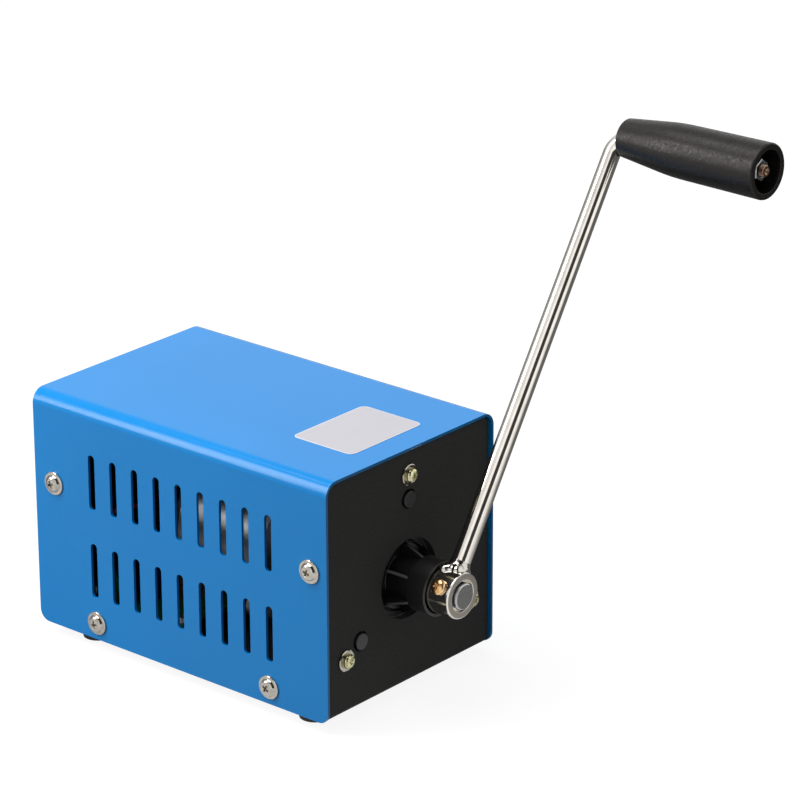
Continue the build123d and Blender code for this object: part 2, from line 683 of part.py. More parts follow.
def planet(name, angle, span, pin_radius):
    """Planet gear on its pin, with a tooth pointing away from the crank axis."""
    x, z = spoke(PLANET_CIRCLE, angle)
    plane = Plane(origin=(x, span[1], z), x_dir=(1, 0, 0), z_dir=(0, -1, 0))
    with BuildPart() as gear:
        with BuildSketch(plane):
            outside_teeth(PLANET_TEETH, first_tooth=angle)
            Circle(pin_radius + RUNNING_CLEARANCE, mode=Mode.SUBTRACT)
        extrude(amount=span[1] - span[0])
    finish(gear, name)


def carrier_pins(name, front, rear, pin_radius):
    """Three pins, one for each planet."""
    with BuildPart() as pins:
        with BuildSketch(facing_front(rear)):
            with PolarLocations(PLANET_CIRCLE, SPOKES, start_angle=FIRST_SPOKE):
                Circle(pin_radius)
        extrude(amount=rear - front)
    finish(pins, name)


# The crank shaft drives the first carrier.
with BuildPart() as first_carrier:
    with BuildSketch(facing_front(CARRIER_REAR)):
        Circle(CARRIER_RADIUS)
        Circle(SHAFT_RADIUS, mode=Mode.SUBTRACT)
        with PolarLocations(PLANET_CIRCLE, SPOKES, start_angle=FIRST_SPOKE):
            Circle(PIN_ONE, mode=Mode.SUBTRACT)
    extrude(amount=CARRIER_REAR - CARRIER_FRONT)
finish(first_carrier, "first_carrier")
carrier_pins("first_carrier_pins", CARRIER_FRONT, STAGE_ONE[1] - 0.5, PIN_ONE)

# The second carrier and the first sun are one piece.
SECOND_FRONT = STAGE_ONE[1] + 0.6
SECOND_REAR = STAGE_TWO[0] - 0.5
with BuildPart() as second_carrier:
    with BuildSketch(facing_front(SECOND_REAR)):
        Circle(CARRIER_RADIUS)
        with PolarLocations(PLANET_CIRCLE, SPOKES, start_angle=FIRST_SPOKE):
            Circle(PIN_TWO, mode=Mode.SUBTRACT)
    extrude(amount=SECOND_REAR - SECOND_FRONT)
    with BuildSketch(facing_front(SECOND_FRONT)):
        outside_teeth(SUN_TEETH, first_tooth=FIRST_SPOKE + 180 / SUN_TEETH)
    extrude(amount=SECOND_FRONT - STAGE_ONE[0])
finish(second_carrier, "second_carrier")
carrier_pins("second_carrier_pins", SECOND_FRONT, STAGE_TWO[1] - 0.3, PIN_TWO)

for index in range(SPOKES):
    angle = FIRST_SPOKE + index * 360 / SPOKES
    planet(f"first_planet_{index + 1}", angle, STAGE_ONE, PIN_ONE)
    planet(f"second_planet_{index + 1}", angle, STAGE_TWO, PIN_TWO)

# ------------------------------------------------------------ dynamo motor

CAN_WALL = 1.6
CAN_BOSS_FRONT = GEARBOX_REAR - 3.5
BEARING_RADIUS = 5.0
CAP_REAR = MOTOR_REAR + 6.0
with BuildPart() as motor_can:
    turned(
        [
            (CAN_BOSS_FRONT, MOTOR_BOSS_RADIUS),
            (GEARBOX_REAR, MOTOR_BOSS_RADIUS),
            (GEARBOX_REAR, MOTOR_RADIUS - 1.0),
            (GEARBOX_REAR + 1.0, MOTOR_RADIUS),
            (MOTOR_REAR, MOTOR_RADIUS),
            (MOTOR_REAR, MOTOR_RADIUS - CAN_WALL),
            (GEARBOX_REAR + CAN_WALL, MOTOR_RADIUS - CAN_WALL),
            (GEARBOX_REAR + CAN_WALL, BEARING_RADIUS),
            (CAN_BOSS_FRONT + 1.5, BEARING_RADIUS),
            (CAN_BOSS_FRONT + 1.5, MOTOR_SHAFT + 0.8),
            (CAN_BOSS_FRONT, MOTOR_SHAFT + 0.8),
        ]
    )
    with BuildSketch(facing_front(GEARBOX_REAR + CAN_WALL)):
        with Locations((-MOTOR_SCREW_X, 0), (MOTOR_SCREW_X, 0)):
            Circle(1.5)
    extrude(amount=CAN_WALL, mode=Mode.SUBTRACT)
finish(motor_can, "motor_can")

# Two magnet arcs on the inside of the can.
MAGNET_OUTER = MOTOR_RADIUS - CAN_WALL
MAGNET_INNER = 14.6
MAGNET_ARC = 140.0
MAGNET_SPAN = (-11.0, 17.0)
with BuildPart() as magnets:
    with BuildSketch(facing_front(MAGNET_SPAN[1])):
        Circle(MAGNET_OUTER)
        Circle(MAGNET_INNER, mode=Mode.SUBTRACT)
        gap = 2 * MAGNET_OUTER * cos(radians(MAGNET_ARC / 2))
        Rectangle(2 * MAGNET_OUTER, gap, mode=Mode.SUBTRACT)
    extrude(amount=MAGNET_SPAN[1] - MAGNET_SPAN[0])
finish(magnets, "magnets")

# Sintered bushes: one in the gearbox nose for the crank shaft, and one at each
# end of the motor for its rotor.
with BuildPart() as bushes:
    ring_of(BUSH_RADIUS, SHAFT_RADIUS + RUNNING_CLEARANCE, HUB_REAR + 0.6, FLANGE_REAR - 2.0)
    ring_of(BEARING_RADIUS, MOTOR_SHAFT + RUNNING_CLEARANCE, CAN_BOSS_FRONT + 1.5, GEARBOX_REAR)
    ring_of(BEARING_RADIUS, MOTOR_SHAFT + RUNNING_CLEARANCE, CAP_REAR, CAP_REAR + 3.0)
finish(bushes, "bushes")

# End cap closes the can and carries the rear bush, brushes and terminals.
TERMINAL_ANGLES = (133.0, -47.0)
TERMINAL_CIRCLE = 11.0
TERMINAL_STRIP = (0.8, 4.0)
TERMINAL_REAR = CAP_REAR + 6.0
TERMINAL_LENGTH = 9.0
CAP_BORE = 15.0
CAP_WALL = 1.5
with BuildPart() as motor_end_cap:
    turned(
        [
            (MOTOR_REAR, CAP_BORE),
            (MOTOR_REAR, MOTOR_RADIUS - 0.2),
            (MOTOR_REAR + 2.0, MOTOR_RADIUS - 0.2),
            (CAP_REAR, MOTOR_RADIUS - 3.0),
            (CAP_REAR, BEARING_RADIUS + 2.0),
            (CAP_REAR + 4.0, BEARING_RADIUS + 1.5),
            (CAP_REAR + 4.0, 0),
            (CAP_REAR + 3.0, 0),
            (CAP_REAR + 3.0, BEARING_RADIUS),
            (CAP_REAR - CAP_WALL, BEARING_RADIUS),
            (CAP_REAR - CAP_WALL, CAP_BORE),
        ]
    )
    with BuildSketch(facing_front(CAP_REAR + CUT_MARGIN)):
        for angle in TERMINAL_ANGLES:
            with PolarLocations(TERMINAL_CIRCLE, 1, start_angle=angle):
                Rectangle(*TERMINAL_STRIP)
    extrude(amount=CAP_WALL + 2 * CUT_MARGIN, mode=Mode.SUBTRACT)
finish(motor_end_cap, "motor_end_cap")

# Brass terminal strips with their brush arms.
with BuildPart() as motor_terminals:
    with BuildSketch(facing_front(TERMINAL_REAR)):
        for angle in TERMINAL_ANGLES:
            with PolarLocations(TERMINAL_CIRCLE, 1, start_angle=angle):
                Rectangle(*TERMINAL_STRIP)
    extrude(amount=TERMINAL_LENGTH)
finish(motor_terminals, "motor_terminals")

COMMUTATOR_RADIUS = 4.6
BRUSH_GAP = 0.3
BRUSH_SIZE = (3.0, 4.0)
with BuildPart() as brushes:
    for angle in TERMINAL_ANGLES:
        turn = radians(angle)
        outward = (cos(turn), 0, sin(turn))
        start = COMMUTATOR_RADIUS + BRUSH_GAP
        origin = (start * outward[0], MOTOR_REAR + 1.5, AXIS_Z + start * outward[2])
        with BuildSketch(Plane(origin=origin, x_dir=(0, 1, 0), z_dir=outward)):
            Rectangle(*BRUSH_SIZE)
        extrude(amount=TERMINAL_CIRCLE - TERMINAL_STRIP[0] / 2 - start)
finish(brushes, "brushes")

# Rotor: shaft with the pinion cut in its end, laminated core with five poles,
# windings and commutator.
CORE_RADIUS = 13.9
CORE_SPAN = (-9.0, 13.0)
POLES = 5
POLE_SLOT = (6.0, 2.2)
COIL_CIRCLE = 9.0
COIL_RADIUS = 3.0
COIL_PLAY = 0.2
COIL_END_RADII = (11.8, 3.4)
with BuildPart() as rotor_shaft:
    ring_of(MOTOR_SHAFT, 0, STAGE_TWO[1], CAP_REAR + 2.5)
    with BuildSketch(facing_front(STAGE_TWO[1] + 0.4)):
        outside_teeth(SUN_TEETH, first_tooth=FIRST_SPOKE + 180 / SUN_TEETH)
    extrude(amount=STAGE_TWO[1] + 0.4 - STAGE_TWO[0])
finish(rotor_shaft, "rotor_shaft")

with BuildPart() as armature_core:
    with BuildSketch(facing_front(CORE_SPAN[1])):
        Circle(CORE_RADIUS)
        Circle(MOTOR_SHAFT, mode=Mode.SUBTRACT)
        with PolarLocations(CORE_RADIUS, POLES, start_angle=FIRST_SPOKE + 180 / POLES):
            Rectangle(*POLE_SLOT, mode=Mode.SUBTRACT)
        with PolarLocations(COIL_CIRCLE, POLES, start_angle=FIRST_SPOKE + 180 / POLES):
            Circle(COIL_RADIUS + COIL_PLAY, mode=Mode.SUBTRACT)
    extrude(amount=CORE_SPAN[1] - CORE_SPAN[0])
finish(armature_core, "armature_core")

with BuildPart() as armature_windings:
    ring_of(*COIL_END_RADII, CORE_SPAN[0] - 3.0, CORE_SPAN[0])
    ring_of(*COIL_END_RADII, CORE_SPAN[1], CORE_SPAN[1] + 3.5)
    with BuildSketch(facing_front(CORE_SPAN[1])):
        with PolarLocations(COIL_CIRCLE, POLES, start_angle=FIRST_SPOKE + 180 / POLES):
            Circle(COIL_RADIUS)
    extrude(amount=CORE_SPAN[1] - CORE_SPAN[0])
finish(armature_windings, "armature_windings")

with BuildPart() as commutator:
    ring_of(COMMUTATOR_RADIUS, MOTOR_SHAFT, CORE_SPAN[1] + 3.8, CAP_REAR - 2.0)
finish(commutator, "commutator")

# ------------------------------------------------------------ regulator board

BOARD_BOTTOM = 13.0
BOARD_THICK = 1.6
BOARD_TOP = BOARD_BOTTOM + BOARD_THICK
BOARD_MIDDLE_Y = 32.5
BOARD_SIZE = (66.0, 49.0)
SPACER_RADIUS = 2.8
with BuildPart() as regulator_board:
    with BuildSketch(Plane.XY.offset(BOARD_BOTTOM)):
        with Locations((0, BOARD_MIDDLE_Y)):
            Rectangle(*BOARD_SIZE)
        with Locations(*BOARD_SPOTS):
            Circle(BOARD_SCREW, mode=Mode.SUBTRACT)
    extrude(amount=BOARD_THICK)
finish(regulator_board, "regulator_board")

with BuildPart() as board_spacers:
    with BuildSketch(Plane.XY.offset(CHASSIS_FLOOR)):
        with Locations(*BOARD_SPOTS):
            Circle(SPACER_RADIUS)
        with Locations(*BOARD_SPOTS):
            Circle(BOARD_SCREW, mode=Mode.SUBTRACT)
    extrude(amount=BOARD_BOTTOM - CHASSIS_FLOOR)
finish(board_spacers, "board_spacers")

with BuildPart() as board_screws:
    for x, y in BOARD_SPOTS:
        seat = Plane.XY.offset(BOARD_TOP) * Pos(x, y, 0)
        screw(seat, 2.7, 1.6, BOARD_SCREW, shank_length=BOARD_TOP - CHASSIS_BOTTOM)
finish(board_screws, "board_screws")

# Tall components stand behind the motor.
CAPACITOR_SPOTS = [(-18.5, 34.5), (-18.5, 46.0)]
CAPACITOR_RADIUS = 5.0
CAPACITOR_HEIGHT = 16.0
with BuildPart() as capacitors:
    with BuildSketch(Plane.XY.offset(BOARD_TOP)):
        with Locations(*CAPACITOR_SPOTS):
            Circle(CAPACITOR_RADIUS)
    extrude(amount=CAPACITOR_HEIGHT)
    tops = capacitors.edges().group_by(Axis.Z)[-1]
    fillet(tops, radius=0.8)
finish(capacitors, "capacitors")

# Choke: a wound toroid lying on the board.
CHOKE_AT = (-2.0, 37.0)
CHOKE_RADII = (8.0, 3.6)
CHOKE_HEIGHT = 7.0
with BuildPart() as choke:
    with BuildSketch(Plane.XY.offset(BOARD_TOP)):
        with Locations(CHOKE_AT):
            Circle(CHOKE_RADII[0])
            Circle(CHOKE_RADII[1], mode=Mode.SUBTRACT)
    extrude(amount=CHOKE_HEIGHT)
    fillet(choke.edges().filter_by(GeomType.CIRCLE).group_by(Axis.Z)[-1], radius=1.6)
finish(choke, "choke")

# Heat sink with upright fins, and the regulator bolted to its front.
SINK_AT = (24.0, 42.0)
SINK_HEIGHT = 18.0
SINK_PLATE = (16.0, 2.0)
FIN_SIZE = (1.0, 6.0)
FIN_PITCH = 3.5
FIN_COUNT = 5
with BuildPart() as heat_sink:
    with BuildSketch(Plane.XY.offset(BOARD_TOP)):
        with Locations(SINK_AT):
            Rectangle(*SINK_PLATE)
            with Locations((0, (SINK_PLATE[1] + FIN_SIZE[1]) / 2 - 0.4)):
                with GridLocations(FIN_PITCH, 1, FIN_COUNT, 1):
                    Rectangle(*FIN_SIZE)
    extrude(amount=SINK_HEIGHT)
finish(heat_sink, "heat_sink")

CHIP_BODY = (10.0, 4.5)
CHIP_HEIGHT = 12.0
CHIP_LEGS = 3
CHIP_LEG = (0.8, 0.6)
CHIP_LEG_PITCH = 2.54
CHIP_LEG_LENGTH = 4.0
chip_y = SINK_AT[1] - (SINK_PLATE[1] + CHIP_BODY[1]) / 2
with BuildPart() as regulator_chip:
    with BuildSketch(Plane.XY.offset(BOARD_TOP + CHIP_LEG_LENGTH)):
        with Locations((SINK_AT[0], chip_y)):
            Rectangle(*CHIP_BODY)
    extrude(amount=CHIP_HEIGHT)
    with BuildSketch(Plane.XY.offset(BOARD_TOP)):
        with Locations((SINK_AT[0], chip_y)):
            with GridLocations(CHIP_LEG_PITCH, 1, CHIP_LEGS, 1):
                Rectangle(*CHIP_LEG)
    extrude(amount=CHIP_LEG_LENGTH)
finish(regulator_chip, "regulator_chip")

TERMINAL_BLOCK_AT = (-29.1, 43.0)
BLOCK_SIZE = (7.6, 11.0)
BLOCK_HEIGHT = 9.0
with BuildPart() as terminal_block:
    with BuildSketch(Plane.XY.offset(BOARD_TOP)):
        with Locations(TERMINAL_BLOCK_AT):
            Rectangle(*BLOCK_SIZE)
    extrude(amount=BLOCK_HEIGHT)
    chamfer(terminal_block.edges().filter_by(Axis.Y).group_by(Axis.Z)[-1], length=1.2)
finish(terminal_block, "terminal_block")

# ------------------------------------------------------------ rear panel fittings

# Voltmeter: bezel frame, case behind the panel and a dark window.
METER_BEZEL = (48.0, 29.0)
METER_WINDOW = (31.0, 15.0)
METER_PROUD = 2.6
METER_DEPTH = 14.0
METER_RECESS = 1.8
WINDOW_THICK = 1.2
CUTOUT_PLAY = 0.4
with BuildPart() as voltmeter:
    with BuildSketch(facing_front(PANEL_REAR + METER_PROUD, height=0)):
        with Locations(METER_AT):
            RectangleRounded(*METER_BEZEL, 1.5)
    extrude(amount=METER_PROUD)
    chamfer(voltmeter.edges().group_by(Axis.Y)[-1], length=0.8)
    with BuildSketch(facing_front(PANEL_REAR, height=0)):
        with Locations(METER_AT):
            Rectangle(METER_CUTOUT[0] - CUTOUT_PLAY, METER_CUTOUT[1] - CUTOUT_PLAY)
    extrude(amount=METER_DEPTH)
    with BuildSketch(facing_front(PANEL_REAR + METER_PROUD, height=0)):
        with Locations(METER_AT):
            Rectangle(*METER_WINDOW)
    extrude(amount=METER_RECESS, mode=Mode.SUBTRACT)
finish(voltmeter, "voltmeter")

with BuildPart() as meter_window:
    window_face = PANEL_REAR + METER_PROUD - METER_RECESS + WINDOW_THICK
    with BuildSketch(facing_front(window_face, height=0)):
        with Locations(METER_AT):
            Rectangle(*METER_WINDOW)
    extrude(amount=WINDOW_THICK)
finish(meter_window, "meter_window")

# USB block: two receptacles, one above the other, in a moulded surround that
# also holds their contact tongues.
USB_SURROUND = (19.0, 23.0)
USB_PROUD = 1.6
USB_PITCH = 9.6
USB_SHELL = (13.1, 5.7)
USB_DEPTH = 11.0
USB_BODY_DEPTH = 12.0
USB_SHELL_PROUD = 0.3
USB_SHELL_WALL = 0.3
USB_TONGUE = (11.0, 1.8)
USB_TONGUE_RISE = 1.0
USB_PORTS = [(USB_AT[0], USB_AT[1] + step * USB_PITCH / 2) for step in (-1, 1)]
with BuildPart() as usb_surround:
    with BuildSketch(facing_front(PANEL_REAR + USB_PROUD, height=0)):
        with Locations(USB_AT):
            RectangleRounded(*USB_SURROUND, 1.5)
    extrude(amount=USB_PROUD)
    chamfer(usb_surround.edges().group_by(Axis.Y)[-1], length=0.5)
    with BuildSketch(facing_front(PANEL_REAR, height=0)):
        with Locations(USB_AT):
            Rectangle(USB_CUTOUT[0] - CUTOUT_PLAY, USB_CUTOUT[1] - CUTOUT_PLAY)
    extrude(amount=USB_BODY_DEPTH)
    with BuildSketch(facing_front(PANEL_REAR + USB_PROUD, height=0)):
        with Locations(*USB_PORTS):
            Rectangle(*USB_SHELL)
    extrude(amount=USB_DEPTH + 0.4, mode=Mode.SUBTRACT)
    with BuildSketch(facing_front(PANEL_REAR + USB_PROUD - 0.4, height=0)):
        with Locations(*[(x, z + USB_TONGUE_RISE) for x, z in USB_PORTS]):
            Rectangle(*USB_TONGUE)
    extrude(amount=USB_DEPTH - 1.1)
finish(usb_surround, "usb_surround")

with BuildPart() as usb_shells:
    with BuildSketch(facing_front(PANEL_REAR + USB_PROUD + USB_SHELL_PROUD, height=0)):
        with Locations(*USB_PORTS):
            Rectangle(*USB_SHELL)
    extrude(amount=USB_DEPTH)
    with BuildSketch(facing_front(PANEL_REAR + USB_PROUD + USB_SHELL_PROUD, height=0)):
        with Locations(*USB_PORTS):
            Rectangle(USB_SHELL[0] - 2 * USB_SHELL_WALL, USB_SHELL[1] - 2 * USB_SHELL_WALL)
    extrude(amount=USB_DEPTH - 0.4, mode=Mode.SUBTRACT)
finish(usb_shells, "usb_shells")

# Two 4 mm sockets: insulator with a flange, metal sleeve and a nut behind.
SOCKET_FLANGE = 6.0
SOCKET_PROUD = 2.4
SOCKET_BODY = 4.0
SOCKET_DEPTH = 14.0
SLEEVE_RADIUS = 2.8
SLEEVE_SINK = 0.3
SLEEVE_END = 2.0
SOCKET_BARREL = 10.0
SOCKETS = (("socket_red", -SOCKET_SPACING / 2), ("socket_black", SOCKET_SPACING / 2))
for name, x in SOCKETS:
    with BuildPart() as socket:
        with BuildSketch(facing_front(PANEL_REAR + SOCKET_PROUD, height=0)):
            with Locations((x, SOCKET_Z)):
                Circle(SOCKET_FLANGE)
        extrude(amount=SOCKET_PROUD)
        chamfer(socket.edges().group_by(Axis.Y)[-1], length=0.7)
        with BuildSketch(facing_front(PANEL_REAR, height=0)):
            with Locations((x, SOCKET_Z)):
                Circle(SOCKET_BODY)
        extrude(amount=SOCKET_BARREL)
        with BuildSketch(facing_front(PANEL_REAR + SOCKET_PROUD, height=0)):
            with Locations((x, SOCKET_Z)):
                Circle(SLEEVE_RADIUS)
        extrude(amount=SOCKET_PROUD + SOCKET_BARREL, mode=Mode.SUBTRACT)
    finish(socket, name)

with BuildPart() as socket_sleeves:
    with BuildSketch(facing_front(PANEL_REAR + SOCKET_PROUD - SLEEVE_SINK, height=0)):
        with Locations(*SOCKET_SPOTS):
            Circle(SLEEVE_RADIUS)
    extrude(amount=SOCKET_DEPTH + SLEEVE_END)
    with BuildSketch(facing_front(PANEL_REAR + SOCKET_PROUD - SLEEVE_SINK, height=0)):
        with Locations(*SOCKET_SPOTS):
            Circle(PLUG_RADIUS)
    extrude(amount=SOCKET_DEPTH, mode=Mode.SUBTRACT)
finish(socket_sleeves, "socket_sleeves")

# Nuts: one behind the panel on each socket, and one in front of it on the
# potentiometer.
BUSHING_RADIUS = 3.5
SOCKET_NUT = (6.0, 3.0)
KNOB_NUT = (5.0, 2.0)
with BuildPart() as panel_nuts:
    with BuildSketch(facing_front(REAR_INNER, height=0)):
        with Locations(*SOCKET_SPOTS):
            RegularPolygon(radius=SOCKET_NUT[0], side_count=6, major_radius=False)
            Circle(SOCKET_BODY, mode=Mode.SUBTRACT)
    extrude(amount=SOCKET_NUT[1])
    with BuildSketch(facing_front(PANEL_REAR + KNOB_NUT[1], height=0)):
        with Locations(KNOB_AT):
            RegularPolygon(radius=KNOB_NUT[0], side_count=6, major_radius=False)
            Circle(BUSHING_RADIUS, mode=Mode.SUBTRACT)
    extrude(amount=KNOB_NUT[1])
finish(panel_nuts, "panel_nuts")

# Voltage control: potentiometer behind the panel, with its spindle and knob.
knob_axis = Axis((KNOB_AT[0], 0, KNOB_AT[1]), (0, 1, 0))
knob_section = section(x=KNOB_AT[0], z=KNOB_AT[1])
SPINDLE_RADIUS = 3.0
SPINDLE_START = REAR_INNER - 8.0
SPINDLE_END = PANEL_REAR + 14.0
POT_RADIUS = 8.0
POT_DEPTH = 9.0
BUSHING_LENGTH = 5.0
KNOB_REAR = PANEL_REAR + 16.5
with BuildPart() as potentiometer:
    turned(
        [
            (REAR_INNER - POT_DEPTH, SPINDLE_RADIUS + RUNNING_CLEARANCE),
            (REAR_INNER - POT_DEPTH, POT_RADIUS),
            (REAR_INNER, POT_RADIUS),
            (REAR_INNER, BUSHING_RADIUS),
            (PANEL_REAR + BUSHING_LENGTH, BUSHING_RADIUS),
            (PANEL_REAR + BUSHING_LENGTH, SPINDLE_RADIUS + RUNNING_CLEARANCE),
        ],
        axis=knob_axis,
        plane=knob_section,
    )
finish(potentiometer, "potentiometer")

with BuildPart() as knob_spindle:
    turned(
        [
            (SPINDLE_START, 0),
            (SPINDLE_START, SPINDLE_RADIUS),
            (SPINDLE_END, SPINDLE_RADIUS),
            (SPINDLE_END, 0),
        ],
        axis=knob_axis,
        plane=knob_section,
    )
finish(knob_spindle, "knob_spindle")

KNOB_RADIUS = 7.5
KNOB_FLUTES = 12
FLUTE_RADIUS = 1.1
KNOB_FRONT = PANEL_REAR + 3.0
KNOB_SKIRT_BORE = 5.9
with BuildPart() as knob:
    with BuildSketch(facing_front(KNOB_REAR, height=0)):
        with Locations(KNOB_AT):
            Circle(KNOB_RADIUS)
            with PolarLocations(KNOB_RADIUS + FLUTE_RADIUS / 2, KNOB_FLUTES):
                Circle(FLUTE_RADIUS, mode=Mode.SUBTRACT)
    extrude(amount=KNOB_REAR - KNOB_FRONT)
    with BuildSketch(facing_front(SPINDLE_END, height=0)):
        with Locations(KNOB_AT):
            Circle(SPINDLE_RADIUS)
    extrude(amount=SPINDLE_END - KNOB_FRONT, mode=Mode.SUBTRACT)
    with BuildSketch(facing_front(PANEL_REAR + BUSHING_LENGTH + CUT_MARGIN, height=0)):
        with Locations(KNOB_AT):
            Circle(KNOB_SKIRT_BORE)
            Circle(SPINDLE_RADIUS, mode=Mode.SUBTRACT)
    extrude(amount=PANEL_REAR + BUSHING_LENGTH + CUT_MARGIN - KNOB_FRONT, mode=Mode.SUBTRACT)
finish(knob, "knob")

# ------------------------------------------------------------ leads

LEAD_RADIUS = 0.9
LEAD_BEND = 3.5
BLOCK_TOP = BOARD_TOP + BLOCK_HEIGHT
SLEEVE_REAR = PANEL_REAR + SOCKET_PROUD - SLEEVE_SINK - SOCKET_DEPTH - SLEEVE_END
METER_REAR = PANEL_REAR - METER_DEPTH
USB_REAR = PANEL_REAR - USB_BODY_DEPTH
BLOCK_ENTRY_X = TERMINAL_BLOCK_AT[0] - 0.7


def leads(name, routes):
    """Insulated leads, each a tube along straight runs joined by tangent arcs."""
    with BuildPart() as tubes:
        for points in routes:
            with BuildLine():
                route = FilletPolyline(*points, radius=LEAD_BEND)
            with BuildSketch(Plane(route @ 0, z_dir=route % 0)):
                Circle(LEAD_RADIUS)
            sweep(path=route)
            print(f"{name}: {route.length:.1f} mm")
    finish(tubes, name)


def motor_end(angle):
    """End of a motor terminal, where its lead is soldered on."""
    x, z = spoke(TERMINAL_CIRCLE, angle)
    return (x, TERMINAL_REAR, z)


def board_to_socket(x):
    """Short lead from the board to a socket sleeve."""
    return [(x, 43.5, BOARD_TOP), (x, 43.5, SOCKET_Z), (x, SLEEVE_REAR, SOCKET_Z)]


def board_to_meter(x):
    """Lead from the board up to the voltmeter."""
    top = METER_AT[1] - 8.0
    return [(x, 46.0, BOARD_TOP), (x, 46.0, top), (x, METER_REAR, top)]


def board_to_usb(x):
    """Lead from the board up to the USB block."""
    return [(x, 48.3, BOARD_TOP), (x, 48.3, 33.0), (x, USB_REAR, 33.0)]


red_x, red_y, red_z = motor_end(TERMINAL_ANGLES[0])
leads(
    "leads_red",
    [
        [
            (red_x, red_y, red_z),
            (red_x, red_y + 5.0, red_z),
            (-19.0, 35.5, 48.0),
            (BLOCK_ENTRY_X, 44.5, 46.5),
            (BLOCK_ENTRY_X, 44.5, BLOCK_TOP),
        ],
        board_to_socket(-SOCKET_SPACING / 2),
        board_to_meter(3.0),
        board_to_usb(-13.0),
    ],
)
black_x, black_y, black_z = motor_end(TERMINAL_ANGLES[1])
leads(
    "leads_black",
    [
        [
            (black_x, black_y, black_z),
            (black_x, black_y + 8.0, black_z),
            (-12.0, 41.5, 35.0),
            (BLOCK_ENTRY_X, 40.5, 35.0),
            (BLOCK_ENTRY_X, 40.5, BLOCK_TOP),
        ],
        board_to_socket(SOCKET_SPACING / 2),
        board_to_meter(7.0),
        board_to_usb(-24.3),
    ],
)
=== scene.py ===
import json
import math

import bpy
from bpy.props import FloatProperty, FloatVectorProperty, PointerProperty
from mathutils import Matrix, Vector


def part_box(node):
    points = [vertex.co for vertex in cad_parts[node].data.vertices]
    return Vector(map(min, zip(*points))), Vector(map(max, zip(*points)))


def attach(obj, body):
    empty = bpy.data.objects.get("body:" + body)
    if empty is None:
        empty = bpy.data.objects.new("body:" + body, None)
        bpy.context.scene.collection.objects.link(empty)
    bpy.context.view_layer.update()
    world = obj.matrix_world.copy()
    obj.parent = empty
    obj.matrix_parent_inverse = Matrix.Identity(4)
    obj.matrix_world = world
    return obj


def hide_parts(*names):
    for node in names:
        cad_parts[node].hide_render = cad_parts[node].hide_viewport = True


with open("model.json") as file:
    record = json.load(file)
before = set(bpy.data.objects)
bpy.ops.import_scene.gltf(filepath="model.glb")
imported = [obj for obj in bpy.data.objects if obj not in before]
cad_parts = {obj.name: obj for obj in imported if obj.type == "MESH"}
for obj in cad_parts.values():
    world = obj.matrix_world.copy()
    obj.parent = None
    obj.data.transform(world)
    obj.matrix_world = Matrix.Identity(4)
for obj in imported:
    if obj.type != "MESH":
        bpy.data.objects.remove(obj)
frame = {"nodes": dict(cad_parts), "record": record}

bl_info = {
    "name": "Hand Crank Generator",
    "version": (1, 0, 0),
    "blender": (4, 5, 0),
    "location": "View3D > Sidebar > Generator",
    "description": "Finishes a hand crank generator: painted case, geared crank, grip and rear sockets",
    "category": "Object",
}

MM = 0.001
AXIS_HEIGHT = 42.0 * MM
PANEL_SCREW_CIRCLE = 37.0 * MM
BOSS_CIRCLE = 28.4 * MM
FLANGE_REAR = 57.8
HUB_SCREW_Y = -82.3 * MM
HUB_SCREW_SEAT = 7.6
ARM_Y = -81.5 * MM
ARM_ROOT = 6.0 * MM
WELD_CLEARANCE = 3.3 * MM
# The most that a face or edge may be off the place that it is picked by.
SLIVER = 0.01 * MM


# ---------------------------------------------------------------- colours and materials


def linear(code):
    """An sRGB hex colour as the linear red, green, blue and alpha that a shader takes."""
    channels = []
    for shift in (16, 8, 0):
        value = ((code >> shift) & 255) / 255
        channels.append(value / 12.92 if value <= 0.04045 else ((value + 0.055) / 1.055) ** 2.4)
    return (*channels, 1.0)


def add_node(tree, kind, inputs=None, **settings):
    """Adds one node, sets its properties, and fills or links its inputs, by name or by number."""
    node = tree.nodes.new("ShaderNode" + kind)
    for name, value in settings.items():
        setattr(node, name, value)
    for name, value in (inputs or {}).items():
        if isinstance(value, bpy.types.NodeSocket):
            tree.links.new(value, node.inputs[name])
        else:
            node.inputs[name].default_value = value
    return node


def surface(name, shader, build=None):
    """A material whose shader has these values; build links its patterns and takes the tree and the shader."""
    material = bpy.data.materials.new(name)
    material.use_nodes = True
    tree = material.node_tree
    tree.nodes.clear()
    principled = add_node(tree, "BsdfPrincipled", shader)
    add_node(tree, "OutputMaterial", {"Surface": principled.outputs["BSDF"]})
    if build:
        place = add_node(tree, "TexCoord").outputs["Object"]
        build(tree, principled, place)
    return material


def grain(tree, place, size_mm, detail=3.0, stretch=None):
    """Noise whose lumps are about size_mm across, and longer along an axis whose stretch is above one."""
    if stretch:
        factors = tuple(1 / s for s in stretch)
        place = add_node(tree, "Mapping", {"Vector": place, "Scale": factors}).outputs["Vector"]
    scale = 0.5 / (size_mm * MM)
    return add_node(tree, "TexNoise", {"Vector": place, "Scale": scale, "Detail": detail}).outputs["Fac"]


def between(tree, factor, low, high):
    """The factor's middle range spread from low to high."""
    return add_node(tree, "MapRange", {
        "Value": factor, "From Min": 0.3, "From Max": 0.7, "To Min": low, "To Max": high,
    }).outputs["Result"]


def shaded(tree, factor, dark, light):
    """The colour from dark to light that the factor's middle range picks."""
    return add_node(tree, "Mix", {
        0: between(tree, factor, 0.0, 1.0), 6: dark, 7: light,
    }, data_type="RGBA").outputs[2]


def dents(tree, principled, height, depth_mm):
    """Links a height to the shader's normal as a bump of this depth."""
    bump = add_node(tree, "Bump", {"Height": height, "Distance": depth_mm * MM})
    tree.links.new(bump.outputs["Normal"], principled.inputs["Normal"])


def lifted(colour, factor):
    """A colour out of the settings, made this much lighter."""
    return (*(channel * factor for channel in colour[:3]), 1.0)


